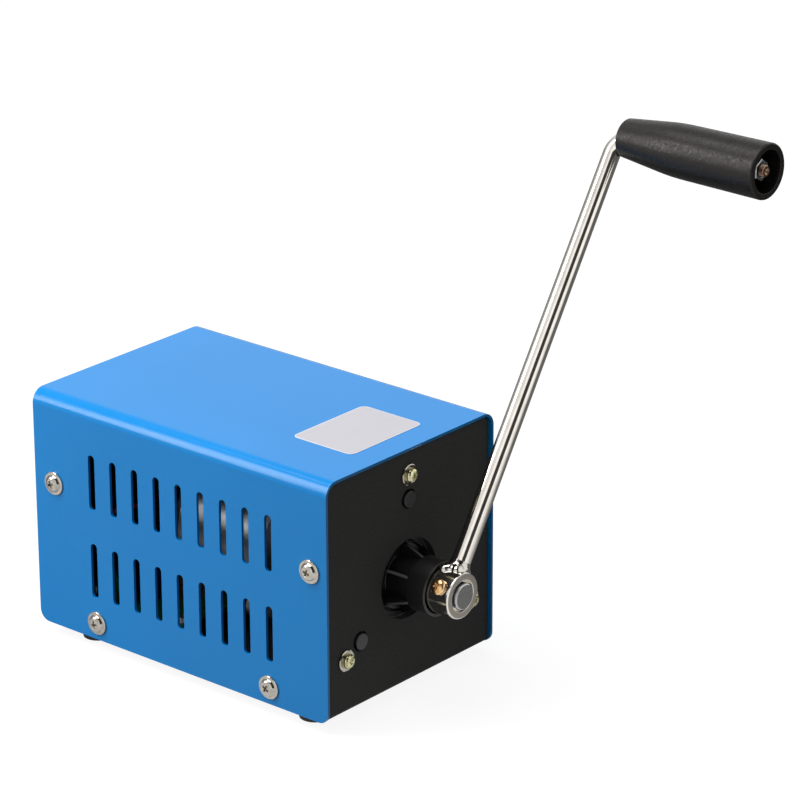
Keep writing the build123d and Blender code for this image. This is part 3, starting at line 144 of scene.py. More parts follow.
def plain(name, dark, light, size_mm, roughness, depth_mm, **shader):
    """A mottled colour, uneven roughness and fine bump at one grain size. Its colours are hex or from the settings."""
    dark, light = (linear(colour) if isinstance(colour, int) else colour for colour in (dark, light))

    def build(tree, principled, place):
        coarse = grain(tree, place, size_mm)
        fine = grain(tree, place, size_mm / 3)
        tree.links.new(shaded(tree, coarse, dark, light), principled.inputs["Base Color"])
        tree.links.new(between(tree, fine, *roughness), principled.inputs["Roughness"])
        dents(tree, principled, fine, depth_mm)
    return surface(name, shader, build)


# Powder coat on sheet steel, baked: a smooth even blue with a faint orange peel about 1.6 mm across.
def blue_powder_coat():
    def build(tree, principled, place):
        peel = grain(tree, place, 1.6, detail=1.0)
        drift = grain(tree, place, 30.0, detail=1.0)
        paint = bpy.context.scene.generator_case.cover_colour
        colour = shaded(tree, drift, lifted(paint, 1.0), lifted(paint, 1.06))
        tree.links.new(colour, principled.inputs["Base Color"])
        tree.links.new(between(tree, peel, 0.17, 0.22), principled.inputs["Roughness"])
        dents(tree, principled, peel, 0.003)
    return surface("blue_powder_coat", {"IOR": 1.5, "Specular IOR Level": 0.24}, build)


# Textured powder coat: nearly black, matt, with a grit about 0.5 mm across.
def black_powder_coat():
    paint = bpy.context.scene.generator_case.panel_colour
    return plain(
        "black_powder_coat", lifted(paint, 1.0), lifted(paint, 1.35), 0.5, (0.7, 0.8), 0.01,
        IOR=1.5, **{"Specular IOR Level": 0.2})


# ABS, moulded: nearly black and a little brown, with a satin skin that mottles the light.
def moulded_abs():
    colour = bpy.context.scene.generator_crank.grip_colour
    return plain(
        "moulded_abs", lifted(colour, 1.0), lifted(colour, 1.8), 1.4, (0.25, 0.48), 0.045,
        IOR=1.53, **{"Specular IOR Level": 0.24, "Specular Tint": (1.0, 0.95, 0.91, 1.0)})


# Silver polyester film: a flat grey metal sheen under a matt coat, with a fine brushed grain.
def silver_polyester():
    def build(tree, principled, place):
        brushed = grain(tree, place, 0.4, stretch=(14, 1, 1))
        tree.links.new(shaded(tree, brushed, linear(0xC6C5CC), linear(0xCBCAD1)), principled.inputs["Base Color"])
        tree.links.new(between(tree, brushed, 0.4, 0.5), principled.inputs["Roughness"])
        dents(tree, principled, brushed, 0.002)
    return surface("silver_polyester_film", {"Metallic": 0.25}, build)


# Nickel plate over a lathe-faced end: fine rings and a soft warm grey.
def faced_nickel():
    def build(tree, principled, place):
        centred = add_node(tree, "Mapping", {"Vector": place, "Location": (0, 0, -AXIS_HEIGHT)}).outputs["Vector"]
        flat = add_node(tree, "VectorMath", {0: centred, 1: (1, 0, 1)}, operation="MULTIPLY").outputs[0]
        radius = add_node(tree, "VectorMath", {0: flat}, operation="LENGTH").outputs["Value"]
        along = add_node(tree, "CombineXYZ", {0: radius}).outputs[0]
        rings = grain(tree, along, 0.12, detail=2.0)
        tree.links.new(shaded(tree, rings, linear(0x8E8880), linear(0xA09A91)), principled.inputs["Base Color"])
        tree.links.new(between(tree, rings, 0.36, 0.5), principled.inputs["Roughness"])
        dents(tree, principled, rings, 0.004)
    return surface("lathe_faced_nickel", {"Metallic": 1.0}, build)


# Nickel plate over a weld bead: bright, and a little uneven.
def weld_nickel():
    return plain("plated_weld", 0xB9B5AE, 0xD2CEC8, 2.4, (0.08, 0.16), 0.008, Metallic=1.0)


# Moulded nylon, glass filled and unpolished: as black as a hole, with a grey glint on its edges.
def nose_nylon():
    return plain("rough_black_nylon", 0x080808, 0x0F0F10, 0.5, (0.32, 0.5), 0.015, IOR=1.53)


# Yellow passivated zinc on small screws: bright gold with orange drifts.
def gold_zinc():
    return plain("gold_zinc_plate", 0xBE8038, 0xF6DDB0, 1.1, (0.16, 0.28), 0.004, Metallic=1.0)


# Yellow zinc that is worn pale: a greenish silver gold.
def pale_zinc():
    return plain("pale_zinc_plate", 0x9A9668, 0xD8D3B0, 0.6, (0.12, 0.25), 0.012, Metallic=1.0)


# Cut edge of the label's film: white and matt.
def film_edge():
    return plain("film_edge", 0xE9E6E4, 0xF2EFEC, 0.5, (0.4, 0.5), 0.002, IOR=1.5)


# Sawn bar end: grey steel with a grit of saw marks.
def sawn_steel():
    return plain("sawn_steel", 0x747473, 0x888886, 0.35, (0.5, 0.68), 0.03, Metallic=0.75)


# Rolled thread with its plating worn off: brownish steel.
def worn_thread():
    return plain("worn_thread", 0x6E5648, 0xA08470, 0.6, (0.18, 0.3), 0.006, Metallic=1.0)


# Dark nickel plate on the grip's nut: a hard contrast of black and white.
def dark_nickel():
    return plain("dark_nickel_plate", 0x77797C, 0x9A9B9C, 0.8, (0.06, 0.14), 0.006, Metallic=1.0)


# Nickel plate on pressed screw heads: warm bright grey.
def pressed_nickel():
    return plain("nickel_plate", 0xA09B92, 0xBAB5AC, 0.8, (0.09, 0.18), 0.004, Metallic=1.0)


# Brushed-on enamel in the knob's groove.
def white_paint():
    return plain("white_enamel", 0xD8D8D4, 0xE2E2DF, 0.6, (0.3, 0.4), 0.004, IOR=1.5)


MATERIALS = {
    "blue_paint": blue_powder_coat,
    "black_paint": black_powder_coat,
    # Natural rubber, moulded: black, matt and a little dusty.
    "black_rubber": lambda: plain("moulded_rubber", 0x141414, 0x1D1D1C, 0.8, (0.7, 0.85), 0.02, IOR=1.52),
    # Nickel-chrome plate: a bright mirror with faint polishing waves.
    "chrome": lambda: plain("nickel_chrome_plate", 0xD6D0C7, 0xE4DFD8, 2.0, (0.06, 0.14), 0.007, Metallic=1.0),
    # Bright zinc plate: grey, with a soft sparkle.
    "zinc_steel": lambda: plain("bright_zinc_plate", 0xA9AAAC, 0xBBBCBD, 0.6, (0.3, 0.45), 0.006, Metallic=1.0),
    # Yellow passivated zinc: gold with green and pink drifts.
    "yellow_zinc": lambda: plain("yellow_zinc_plate", 0xA88C4E, 0xC4AE74, 1.2, (0.25, 0.4), 0.006, Metallic=1.0),
    # Glass-filled nylon, moulded: black, with a satin skin.
    "black_plastic": lambda: plain(
        "moulded_nylon", 0x0E0E0F, 0x141415, 1.0, (0.42, 0.52), 0.006, IOR=1.53, **{"Specular IOR Level": 0.3}),
    "grip_plastic": moulded_abs,
    # Hobbed steel with a film of grease.
    "gear_steel": lambda: plain("hobbed_steel", 0x84858A, 0x9B9CA0, 0.5, (0.25, 0.4), 0.006, Metallic=1.0),
    # Blackened sintered iron.
    "sleeve_grey": lambda: plain("blackened_iron", 0x38383A, 0x46464A, 0.4, (0.45, 0.6), 0.01, Metallic=0.8),
    # As-cast zinc-aluminium: light grey and slightly rough.
    "die_cast": lambda: plain("die_cast_zinc", 0x8E8F90, 0xA2A3A4, 0.7, (0.45, 0.6), 0.015, Metallic=1.0),
    # Oil-filled sintered bronze.
    "bronze": lambda: plain("sintered_bronze", 0x8A6238, 0xA0743F, 0.3, (0.4, 0.55), 0.01, Metallic=1.0),
    # Deep-drawn steel with zinc plate.
    "motor_steel": lambda: plain("drawn_steel", 0x8B8D90, 0x9A9C9E, 1.0, (0.3, 0.42), 0.005, Metallic=1.0),
    # Ground ferrite: dark grey ceramic.
    "ferrite": lambda: plain("ground_ferrite", 0x2E2E30, 0x3A3A3C, 0.3, (0.5, 0.6), 0.008, IOR=2.0),
    # Stacked silicon steel, punched.
    "lamination": lambda: plain("silicon_steel_stack", 0x5E5E62, 0x77777A, 0.3, (0.4, 0.55), 0.01, Metallic=1.0),
    # Enamelled copper wire.
    "copper": lambda: plain("enamelled_copper", 0x9A4E24, 0xB4622E, 0.5, (0.2, 0.32), 0.01, Metallic=0.9),
    # Pressed carbon.
    "carbon": lambda: plain("pressed_carbon", 0x1C1C1D, 0x262627, 0.2, (0.5, 0.65), 0.006, IOR=1.8),
    # Plain turned brass.
    "brass": lambda: plain("turned_brass", 0xB08A42, 0xC49C50, 0.4, (0.22, 0.34), 0.004, Metallic=1.0),
    # Solder mask on glass-epoxy board.
    "board_green": lambda: plain("solder_mask", 0x0B4A20, 0x106030, 1.2, (0.25, 0.35), 0.006, IOR=1.5),
    # Heat-shrunk sleeve on an aluminium can.
    "can_blue": lambda: plain("shrink_sleeve", 0x101F52, 0x152968, 1.0, (0.25, 0.35), 0.004, IOR=1.5),
    # Lacquered copper on a painted ring.
    "choke_wire": lambda: plain("lacquered_copper", 0x8C4418, 0xA8581F, 0.6, (0.2, 0.3), 0.01, Metallic=0.8),
    # Black anodised aluminium extrusion.
    "black_anodised": lambda: plain("black_anodised_aluminium", 0x17171A, 0x202023, 0.5, (0.35, 0.5), 0.006, IOR=1.7),
    # Polyamide, moulded.
    "terminal_green": lambda: plain("green_polyamide", 0x12663A, 0x187A46, 0.8, (0.4, 0.5), 0.005, IOR=1.53),
    # Tinted acrylic.
    "dark_window": lambda: plain("tinted_acrylic", 0x14080A, 0x1A0A0C, 4.0, (0.05, 0.09), 0.001, IOR=1.49),
    # Red ABS, moulded.
    "red_plastic": lambda: plain("red_abs", 0xA81616, 0xB81C1A, 1.0, (0.25, 0.35), 0.004, IOR=1.53),
    # Soft red PVC.
    "red_pvc": lambda: plain("red_pvc", 0xB4161A, 0xC41E1E, 0.8, (0.35, 0.45), 0.004, IOR=1.53),
    # Soft black PVC.
    "black_pvc": lambda: plain("black_pvc", 0x161616, 0x1E1E1E, 0.8, (0.35, 0.45), 0.004, IOR=1.53),
}


def slot_of():
    """Each CAD node's material slot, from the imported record."""
    return {part["node"]: part["material_slot"] for part in frame["record"]["subparts"]}


# ---------------------------------------------------------------- settings


class GeneratorCase(bpy.types.PropertyGroup):
    cover_colour: FloatVectorProperty(
        name="Cover colour", description="Powder coat of the cover", subtype="COLOR", size=4,
        min=0.0, max=1.0, default=linear(0x0688D6))
    panel_colour: FloatVectorProperty(
        name="Panel colour", description="Powder coat of the chassis and its two panels", subtype="COLOR", size=4,
        min=0.0, max=1.0, default=linear(0x383837))
    bend_radius: FloatProperty(
        name="Bend radius", description="Outer radius of the cover's two bends", unit="LENGTH",
        default=5.0 * MM)
    sheet: FloatProperty(
        name="Sheet", description="Thickness of the cover's steel", unit="LENGTH", default=1.0 * MM)
    wall_corner: FloatProperty(
        name="Wall corner", description="Radius of the lower corners of the walls", unit="LENGTH",
        default=4.0 * MM)
    vent_width: FloatProperty(
        name="Vent width", description="Width of a vent slot", unit="LENGTH", default=3.0 * MM)
    vent_height: FloatProperty(
        name="Vent height", description="Height of a vent slot", unit="LENGTH", default=20.0 * MM)
    label_size: FloatVectorProperty(
        name="Label", description="Width and length of the bare label", size=2, unit="LENGTH",
        default=(36.0 * MM, 26.0 * MM))
    label_y: FloatProperty(
        name="Label place", description="Place of the label's middle along the case", unit="LENGTH",
        default=-42.0 * MM)


class GeneratorCrank(bpy.types.PropertyGroup):
    grip_colour: FloatVectorProperty(
        name="Grip colour", description="Plastic of the grip", subtype="COLOR", size=4,
        min=0.0, max=1.0, default=linear(0x12100F))
    arm_angle: FloatProperty(
        name="Arm angle", description="Angle of the stored arm from the case's width", subtype="ANGLE",
        unit="ROTATION", default=math.radians(57.2))
    throw: FloatProperty(
        name="Throw", description="From the crank's axis to the grip's axis", unit="LENGTH",
        default=161.0 * MM)
    arm_radii: FloatVectorProperty(
        name="Arm radii", description="Radius of the arm at the hub and at the grip", size=2,
        unit="LENGTH", default=(3.3 * MM, 3.0 * MM))
    elbow: FloatProperty(
        name="Elbow", description="Bend radius where the arm turns into the grip's spindle",
        unit="LENGTH", default=6.5 * MM)
    weld_lumps: FloatProperty(
        name="Weld lumps", description="How far the weld bead's lumps stand out", unit="LENGTH",
        default=0.15 * MM)


class GeneratorStage(bpy.types.PropertyGroup):
    camera_place: FloatVectorProperty(
        name="Camera", description="Where the camera stands", subtype="TRANSLATION", unit="LENGTH",
        default=(-0.9067, -0.8315, 0.5683))
    camera_azimuth: FloatProperty(
        name="Azimuth", description="Turn round the object from straight in front", subtype="ANGLE",
        unit="ROTATION", default=math.radians(-49.62))
    camera_elevation: FloatProperty(
        name="Elevation", description="Height of the view above the horizon", subtype="ANGLE",
        unit="ROTATION", default=math.radians(21.30))
    camera_roll: FloatProperty(
        name="Roll", description="Turn about the line of sight", subtype="ANGLE",
        unit="ROTATION", default=math.radians(-0.19))
    focal_length: FloatProperty(
        name="Focal length", description="Lens of the camera, on a 36 mm sensor", subtype="DISTANCE_CAMERA",
        default=176.72)
    ambient: FloatProperty(
        name="Ambient", description="Strength of the surroundings' plain light", default=0.2)


# ---------------------------------------------------------------- modelling by hand, in code


def only(*objects):
    """Leaves just these objects selected, because an operator acts on all that is selected."""
    if bpy.context.mode != "OBJECT":
        bpy.ops.object.mode_set(mode="OBJECT")
    bpy.ops.object.select_all(action="DESELECT")
    for obj in objects:
        obj.select_set(True)
        bpy.context.view_layer.objects.active = obj


def added(name):
    """The object that an operator has just added, renamed, with its place in its mesh."""
    obj = bpy.context.object
    obj.name = name
    obj.data.name = name
    bpy.ops.object.transform_apply(location=True, rotation=True, scale=True)
    return obj


def choose(obj, kind, test=lambda middle, normal: True):
    """Opens edit mode with only those faces, edges or points selected whose middle and normal pass the test."""
    only(obj)
    bpy.ops.object.mode_set(mode="EDIT")
    bpy.ops.mesh.select_mode(type=kind)
    bpy.ops.mesh.select_all(action="DESELECT")
    bpy.ops.object.mode_set(mode="OBJECT")
    points = obj.data.vertices
    if kind == "FACE":
        for face in obj.data.polygons:
            face.select = test(face.center, face.normal)
    elif kind == "EDGE":
        for edge in obj.data.edges:
            a, b = (points[i].co for i in edge.vertices)
            edge.select = test((a + b) / 2, (b - a).normalized())
    else:
        for point in points:
            point.select = test(point.co, point.normal)
    bpy.ops.object.mode_set(mode="EDIT")


def extrude(x=0.0, z=0.0):
    """Draws the selection out, in metres."""
    bpy.ops.mesh.extrude_region_move(TRANSFORM_OT_translate={"value": (x, 0, z)})


def settle(obj, sharp=35):
    """Merges doubles, turns all faces outwards and shades smooth except at edges sharper than this."""
    only(obj)
    bpy.ops.object.mode_set(mode="EDIT")
    bpy.ops.mesh.select_mode(type="VERT")
    bpy.ops.mesh.select_all(action="SELECT")
    bpy.ops.mesh.remove_doubles(threshold=0.001 * MM)
    bpy.ops.mesh.normals_make_consistent(inside=False)
    bpy.ops.object.mode_set(mode="OBJECT")
    bpy.ops.object.shade_smooth_by_angle(angle=math.radians(sharp))
    return obj


def modified(obj, kind, **settings):
    """Adds a modifier with these settings and applies it."""
    only(obj)
    modifier = obj.modifiers.new(kind.title(), kind)
    for name, value in settings.items():
        setattr(modifier, name, value)
    bpy.ops.object.modifier_apply(modifier=modifier.name)
    return obj


def rounded(obj, width, segments=2, sharp=35):
    """Rounds every edge sharper than this angle."""
    return modified(
        obj, "BEVEL", width=width, segments=segments, limit_method="ANGLE",
        angle_limit=math.radians(sharp), harden_normals=False)


def combined(obj, other, operation="DIFFERENCE"):
    """Takes the other piece's volume out of the object, or unites the two, and removes the other."""
    modified(obj, "BOOLEAN", operation=operation, solver="EXACT", object=other)
    bpy.data.objects.remove(other)
    return obj


def moved(obj, matrix):
    """Puts a piece that was made at the origin in its place."""
    only(obj)
    obj.matrix_world = matrix @ obj.matrix_world
    bpy.ops.object.transform_apply(location=True, rotation=True, scale=True)
    return obj


def copies(source, name, places):
    """One piece out of a copy of the source at each place."""
    made = []
    for place in places:
        copy = source.copy()
        copy.data = source.data.copy()
        bpy.context.collection.objects.link(copy)
        made.append(moved(copy, place))
    bpy.data.objects.remove(source)
    only(*made)
    bpy.ops.object.join()
    return added(name)


def turned(name, stations, sides):
    """A turned shape on the Z axis: a disc drawn through rings of (height, radius), in millimetres."""
    only()
    (height, radius), *rest = stations
    bpy.ops.mesh.primitive_circle_add(
        vertices=sides, radius=radius * MM, fill_type="NGON", location=(0, 0, height * MM))
    obj = added(name)
    bpy.ops.object.mode_set(mode="EDIT")
    bpy.ops.mesh.select_mode(type="FACE")
    bpy.ops.mesh.select_all(action="SELECT")
    for next_height, next_radius in rest:
        extrude(z=(next_height - height) * MM)
        ratio = next_radius / radius
        bpy.ops.transform.resize(value=(ratio, ratio, ratio), center_override=(0, 0, next_height * MM))
        height, radius = next_height, next_radius
    return settle(obj)


def box(name, size, middle):
    """A block of this size in metres, to be shaped further."""
    only()
    bpy.ops.mesh.primitive_cube_add(size=1.0, location=middle, scale=size)
    return added(name)


def dress(obj, body, slot, *replaced, weighted=True):
    """Gives a finished piece its slot's material if it has none, makes it ride, and hides the nodes that it stands
    for.
    """
    if weighted:
        modified(obj, "WEIGHTED_NORMAL", keep_sharp=True, weight=100)
    if not obj.data.materials:
        obj.data.materials.append(finish_of(slot))
    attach(obj, body)
    if replaced:
        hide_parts(*replaced)
    return obj


def finish_of(slot):
    """The material of a slot, made once."""
    if slot not in MADE:
        MADE[slot] = MATERIALS[slot]()
    return MADE[slot]


MADE = {}


def turn(axis, degrees):
    """The rotation about an axis by this many degrees."""
    return Matrix.Rotation(math.radians(degrees), 4, axis)


# Turns a piece made upright to face the front, so that its height is minus its Y.
FACING_FRONT = turn("X", 90)
CRANK_AXIS = Matrix.Translation((0, 0, AXIS_HEIGHT))


def across_hub(settings, side):
    """Frame of a hub screw: Z from the hub's middle outwards, at right angles to the arm."""
    outward = settings.arm_angle + side * math.radians(90)
    return Matrix.Translation((0, HUB_SCREW_Y, 0)) @ Matrix.Rotation(-outward, 4, "Y") @ turn("Y", 90)


def screw_head(name, stations, recess, width=0.9, depth=1.3):
    """A screw head on the Z axis with a tapered cross recess, sizes in millimetres."""
    head = turned(name, stations, sides=40)
    top = stations[-1][0]
    for quarter in (0, 90):
        size = (recess * MM, width * MM, 2 * depth * MM)
        slot = box("recess_cutter", size, (0, 0, top * MM))
        choose(slot, "FACE", lambda middle, normal: normal.z < -0.5)
        bpy.ops.transform.resize(value=(0.45, 0.75, 1), center_override=(0, 0, (top - depth) * MM))
        only(slot)
        moved(slot, turn("Z", quarter))
        combined(head, slot)
    rounded(head, 0.05 * MM, segments=2, sharp=40)
    return settle(head, sharp=50)


# ---------------------------------------------------------------- case pieces


class OBJECT_OT_generator_cover(bpy.types.Operator):
    """Bend, cut and slot the blue cover"""

    bl_idname = "object.generator_cover"
    bl_label = "Cover"

    def execute(self, context):
        settings = context.scene.generator_case
        low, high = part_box("cover")
        bend = settings.bend_radius
        half = high.x - bend
        middle_y, length = (low.y + high.y) / 2, high.y - low.y
        only()
        bpy.ops.mesh.primitive_plane_add(size=1.0, location=(0, middle_y, high.z))
        cover = added("case_cover")
        choose(cover, "FACE")
        bpy.ops.transform.resize(value=(2 * half, length, 1), center_override=(0, middle_y, high.z))
        for side in (-1, 1):
            choose(cover, "EDGE", lambda middle, along: abs(middle.x - side * half) < SLIVER)
            bpy.ops.mesh.spin(
                steps=16, angle=-side * math.radians(90), center=(side * half, 0, high.z - bend), axis=(0, 1, 0))
            extrude(z=low.z - (high.z - bend))
        choose(cover, "VERT", lambda point, normal: point.z < low.z + SLIVER)
        bpy.ops.mesh.bevel(offset=settings.wall_corner, segments=8, affect="VERTICES")
        settle(cover)
        if cover.data.polygons[0].normal.z < 0:
            choose(cover, "FACE")
            bpy.ops.mesh.flip_normals()
        modified(cover, "SOLIDIFY", thickness=settings.sheet, offset=-1.0)
        combined(cover, self.vent_cutter(settings))
        combined(cover, self.screw_cutter())
        rounded(cover, 0.22 * MM, segments=2, sharp=50)
        settle(cover, sharp=40)
        dress(cover, "case", "blue_paint", "cover")
        return {"FINISHED"}

    @staticmethod
    def vent_cutter(settings):
        """Two rows of nine upright slots with round ends, through both walls."""
        width, height = settings.vent_width, settings.vent_height
        slot = box("vent_cutter", (100 * MM, width, height), (0, 0, VENT_MIDDLE_Z))
        choose(slot, "EDGE", lambda middle, along: abs(along.x) > 0.9)
        bpy.ops.mesh.bevel(offset=width / 2 * 0.999, segments=8, affect="EDGES")
        settle(slot)
        return copies(slot, "vent_cutters", [
            Matrix.Translation((0, column * VENT_PITCH, row * VENT_ROW_PITCH / 2))
            for column in range(-4, 5) for row in (-1, 1)
        ])

    @staticmethod
    def screw_cutter():
        """Four holes through both walls."""
        hole = turned("hole_cutter", [(-50.0, 2.2), (50.0, 2.2)], sides=24)
        across = turn("Y", 90)
        return copies(hole, "hole_cutters", [
            Matrix.Translation((0, y, z)) @ across for y, z in COVER_SCREWS
        ])


VENT_PITCH = 10.0 * MM
VENT_ROW_PITCH = 32.4 * MM
VENT_MIDDLE_Z = 45.6 * MM
COVER_SCREWS = [(y * MM, z * MM) for y, z in ((-58.0, 57.0), (58.0, 57.0), (-39.5, 10.2), (39.5, 10.2))]


class OBJECT_OT_generator_screws(bpy.types.Operator):
    """Turn the cover's, the panel's and the hub's screws, with their cross recesses"""

    bl_idname = "object.generator_screws"
    bl_label = "Screws"

    def execute(self, context):
        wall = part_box("cover")[1].x
        # A flat flange with a low dome on it.
        washer_head = [
            (0.0, 4.15), (0.45, 4.15), (0.65, 3.95), (0.7, 3.1), (0.95, 2.95), (1.35, 2.75),
            (1.7, 2.3), (1.9, 1.6), (2.0, 0.7),
        ]
        head = screw_head("cover_screw_heads", washer_head, recess=3.9)
        places = []
        for side in (-1, 1):
            for index, (y, z) in enumerate(COVER_SCREWS):
                spot = Matrix.Translation((side * wall, y, z))
                places.append(spot @ turn("Y", 90 * side) @ turn("Z", 37 * index + 15 * side))
        heads = copies(head, "cover_screw_heads", places)
        heads.data.materials.append(pressed_nickel())
        dress(heads, "case", "zinc_steel", "cover_screws")

        panel_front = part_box("panel_washers")[0].y
        pan_head = [
            (-0.2, 1.9), (0.0, 2.5), (0.85, 2.55), (1.25, 2.35), (1.6, 1.9), (1.82, 1.3), (1.9, 0.6),
        ]
        head = screw_head("panel_screw_heads", pan_head, recess=3.0, width=0.65, depth=0.9)
        places = []
        for index in range(3):
            angle = math.radians(90 + 120 * index)
            across, up = PANEL_SCREW_CIRCLE * math.cos(angle), PANEL_SCREW_CIRCLE * math.sin(angle)
            spot = Matrix.Translation((across, panel_front, AXIS_HEIGHT + up))
            places.append(spot @ FACING_FRONT @ turn("Z", 20 + 50 * index))
        heads = copies(head, "panel_screw_heads", places)
        heads.data.materials.append(pale_zinc())
        dress(heads, "case", "yellow_zinc", "panel_screws")
        rim = [(-0.8, 3.55), (-0.65, 3.7), (-0.2, 3.7), (0.0, 3.45), (-0.03, 2.2), (-0.8, 2.2)]
        washer = turned("panel_washer_rings", rim, sides=48)
        rings = copies(washer, "panel_washer_rings", places)
        rings.data.materials.append(pressed_nickel())
        dress(rings, "case", "yellow_zinc", "panel_washers")

        cheese_head = [
            (-4.6, 1.4), (0.0, 1.4), (0.0, 2.65), (0.7, 2.75), (1.15, 2.55), (1.6, 2.05), (1.9, 1.4), (2.0, 0.7),
        ]
        head = screw_head("hub_screw_heads", cheese_head, recess=2.7, width=0.6, depth=0.8)
        seat = Matrix.Translation((0, 0, HUB_SCREW_SEAT * MM))
        heads = copies(head, "hub_screw_heads", [
            CRANK_AXIS @ across_hub(context.scene.generator_crank, side) @ seat @ turn("Z", 30 * side)
            for side in (-1, 1)
        ])
        heads.data.materials.append(gold_zinc())
        dress(heads, "crank", "yellow_zinc", "hub_screws")
        return {"FINISHED"}


class OBJECT_OT_generator_label(bpy.types.Operator):
    """Lay the bare silver label on the cover"""

    bl_idname = "object.generator_label"
    bl_label = "Label"

    def execute(self, context):
        settings = context.scene.generator_case
        width, length = settings.label_size
        corner, film, border = 2.4 * MM, 0.14 * MM, 0.3 * MM
        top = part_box("cover")[1].z
        only()
        bpy.ops.mesh.primitive_plane_add(size=1.0, location=(0, settings.label_y, top - 0.02 * MM))
        label = added("silver_label")
        choose(label, "FACE")
        bpy.ops.transform.resize(
            value=(width, length, 1), center_override=(0, settings.label_y, top))
        choose(label, "VERT")
        bpy.ops.mesh.bevel(offset=corner, segments=8, affect="VERTICES")
        choose(label, "FACE")
        extrude(z=film)
        bpy.ops.mesh.inset(thickness=border)
        rounded(settle(label), 0.05 * MM)
        settle(label)
        label.data.materials.append(silver_polyester())
        label.data.materials.append(film_edge())
        largest = max(face.area for face in label.data.polygons)
        for face in label.data.polygons:
            face.material_index = 0 if face.area > largest / 2 else 1
        dress(label, "case", "zinc_steel")
        return {"FINISHED"}


class OBJECT_OT_generator_gearbox(bpy.types.Operator):
    """Turn the gearbox's nose, with its ribs, and the three bosses that show in the panel"""

    bl_idname = "object.generator_gearbox"
    bl_label = "Gearbox nose"

    def execute(self, context):
        nose = turned("gearbox_nose", [
            (FLANGE_REAR, 33.0), (62.8, 33.0), (62.8, 14.3), (60.6, 14.3), (60.6, 12.4), (61.9, 12.3), (61.9, 11.9),
            (60.8, 11.5), (60.8, 8.3),
            (70.3, 8.3), (70.3, 9.4), (78.0, 9.4), (78.0, 8.4), (75.8, 8.4), (75.8, 5.1), (FLANGE_REAR, 5.1),
        ], sides=96)
        choose(nose, "FACE", lambda middle, normal: abs(middle.z - FLANGE_REAR * MM) < SLIVER)
        bpy.ops.mesh.delete(type="ONLY_FACE")
        choose(nose, "EDGE", lambda middle, along: abs(middle.z - FLANGE_REAR * MM) < SLIVER)
        bpy.ops.mesh.bridge_edge_loops()
        rounded(settle(nose), 0.2 * MM, segments=3, sharp=50)

        rib = box("nose_rib", (5.8 * MM, 1.2 * MM, 9.7 * MM), (10.5 * MM, 0, 65.6 * MM))
        choose(rib, "VERT", lambda point, normal: point.z > 70 * MM and point.x > 12 * MM)
        bpy.ops.transform.translate(value=(-4.1 * MM, 0, 0))
        rounded(settle(rib), 0.45 * MM, segments=4)
        combined(nose, copies(rib, "nose_ribs", [turn("Z", 90 + 60 * index) for index in range(6)]), "UNION")
        boss = turned("panel_boss", [(62.0, 2.95), (64.4, 2.95), (64.75, 2.8), (64.9, 2.4)], sides=48)
        combined(nose, copies(boss, "panel_bosses", [
            turn("Z", 90 + 120 * index) @ Matrix.Translation((BOSS_CIRCLE, 0, 0)) for index in range(3)
        ]), "UNION")
        settle(nose, sharp=40)
        moved(nose, CRANK_AXIS @ FACING_FRONT)
        nose.data.materials.append(nose_nylon())
        dress(nose, "case", "black_plastic", "gearbox_front")
        return {"FINISHED"}


# ---------------------------------------------------------------- crank pieces


def along_arm(settings):
    """Frame of the arm: Z from the hub to the grip, X to the front."""
    cosine, sine = math.cos(settings.arm_angle), math.sin(settings.arm_angle)
    lean = Matrix(((0, sine, cosine), (-1, 0, 0), (0, -cosine, sine))).to_4x4()
    return CRANK_AXIS @ Matrix.Translation((0, ARM_Y, 0)) @ lean


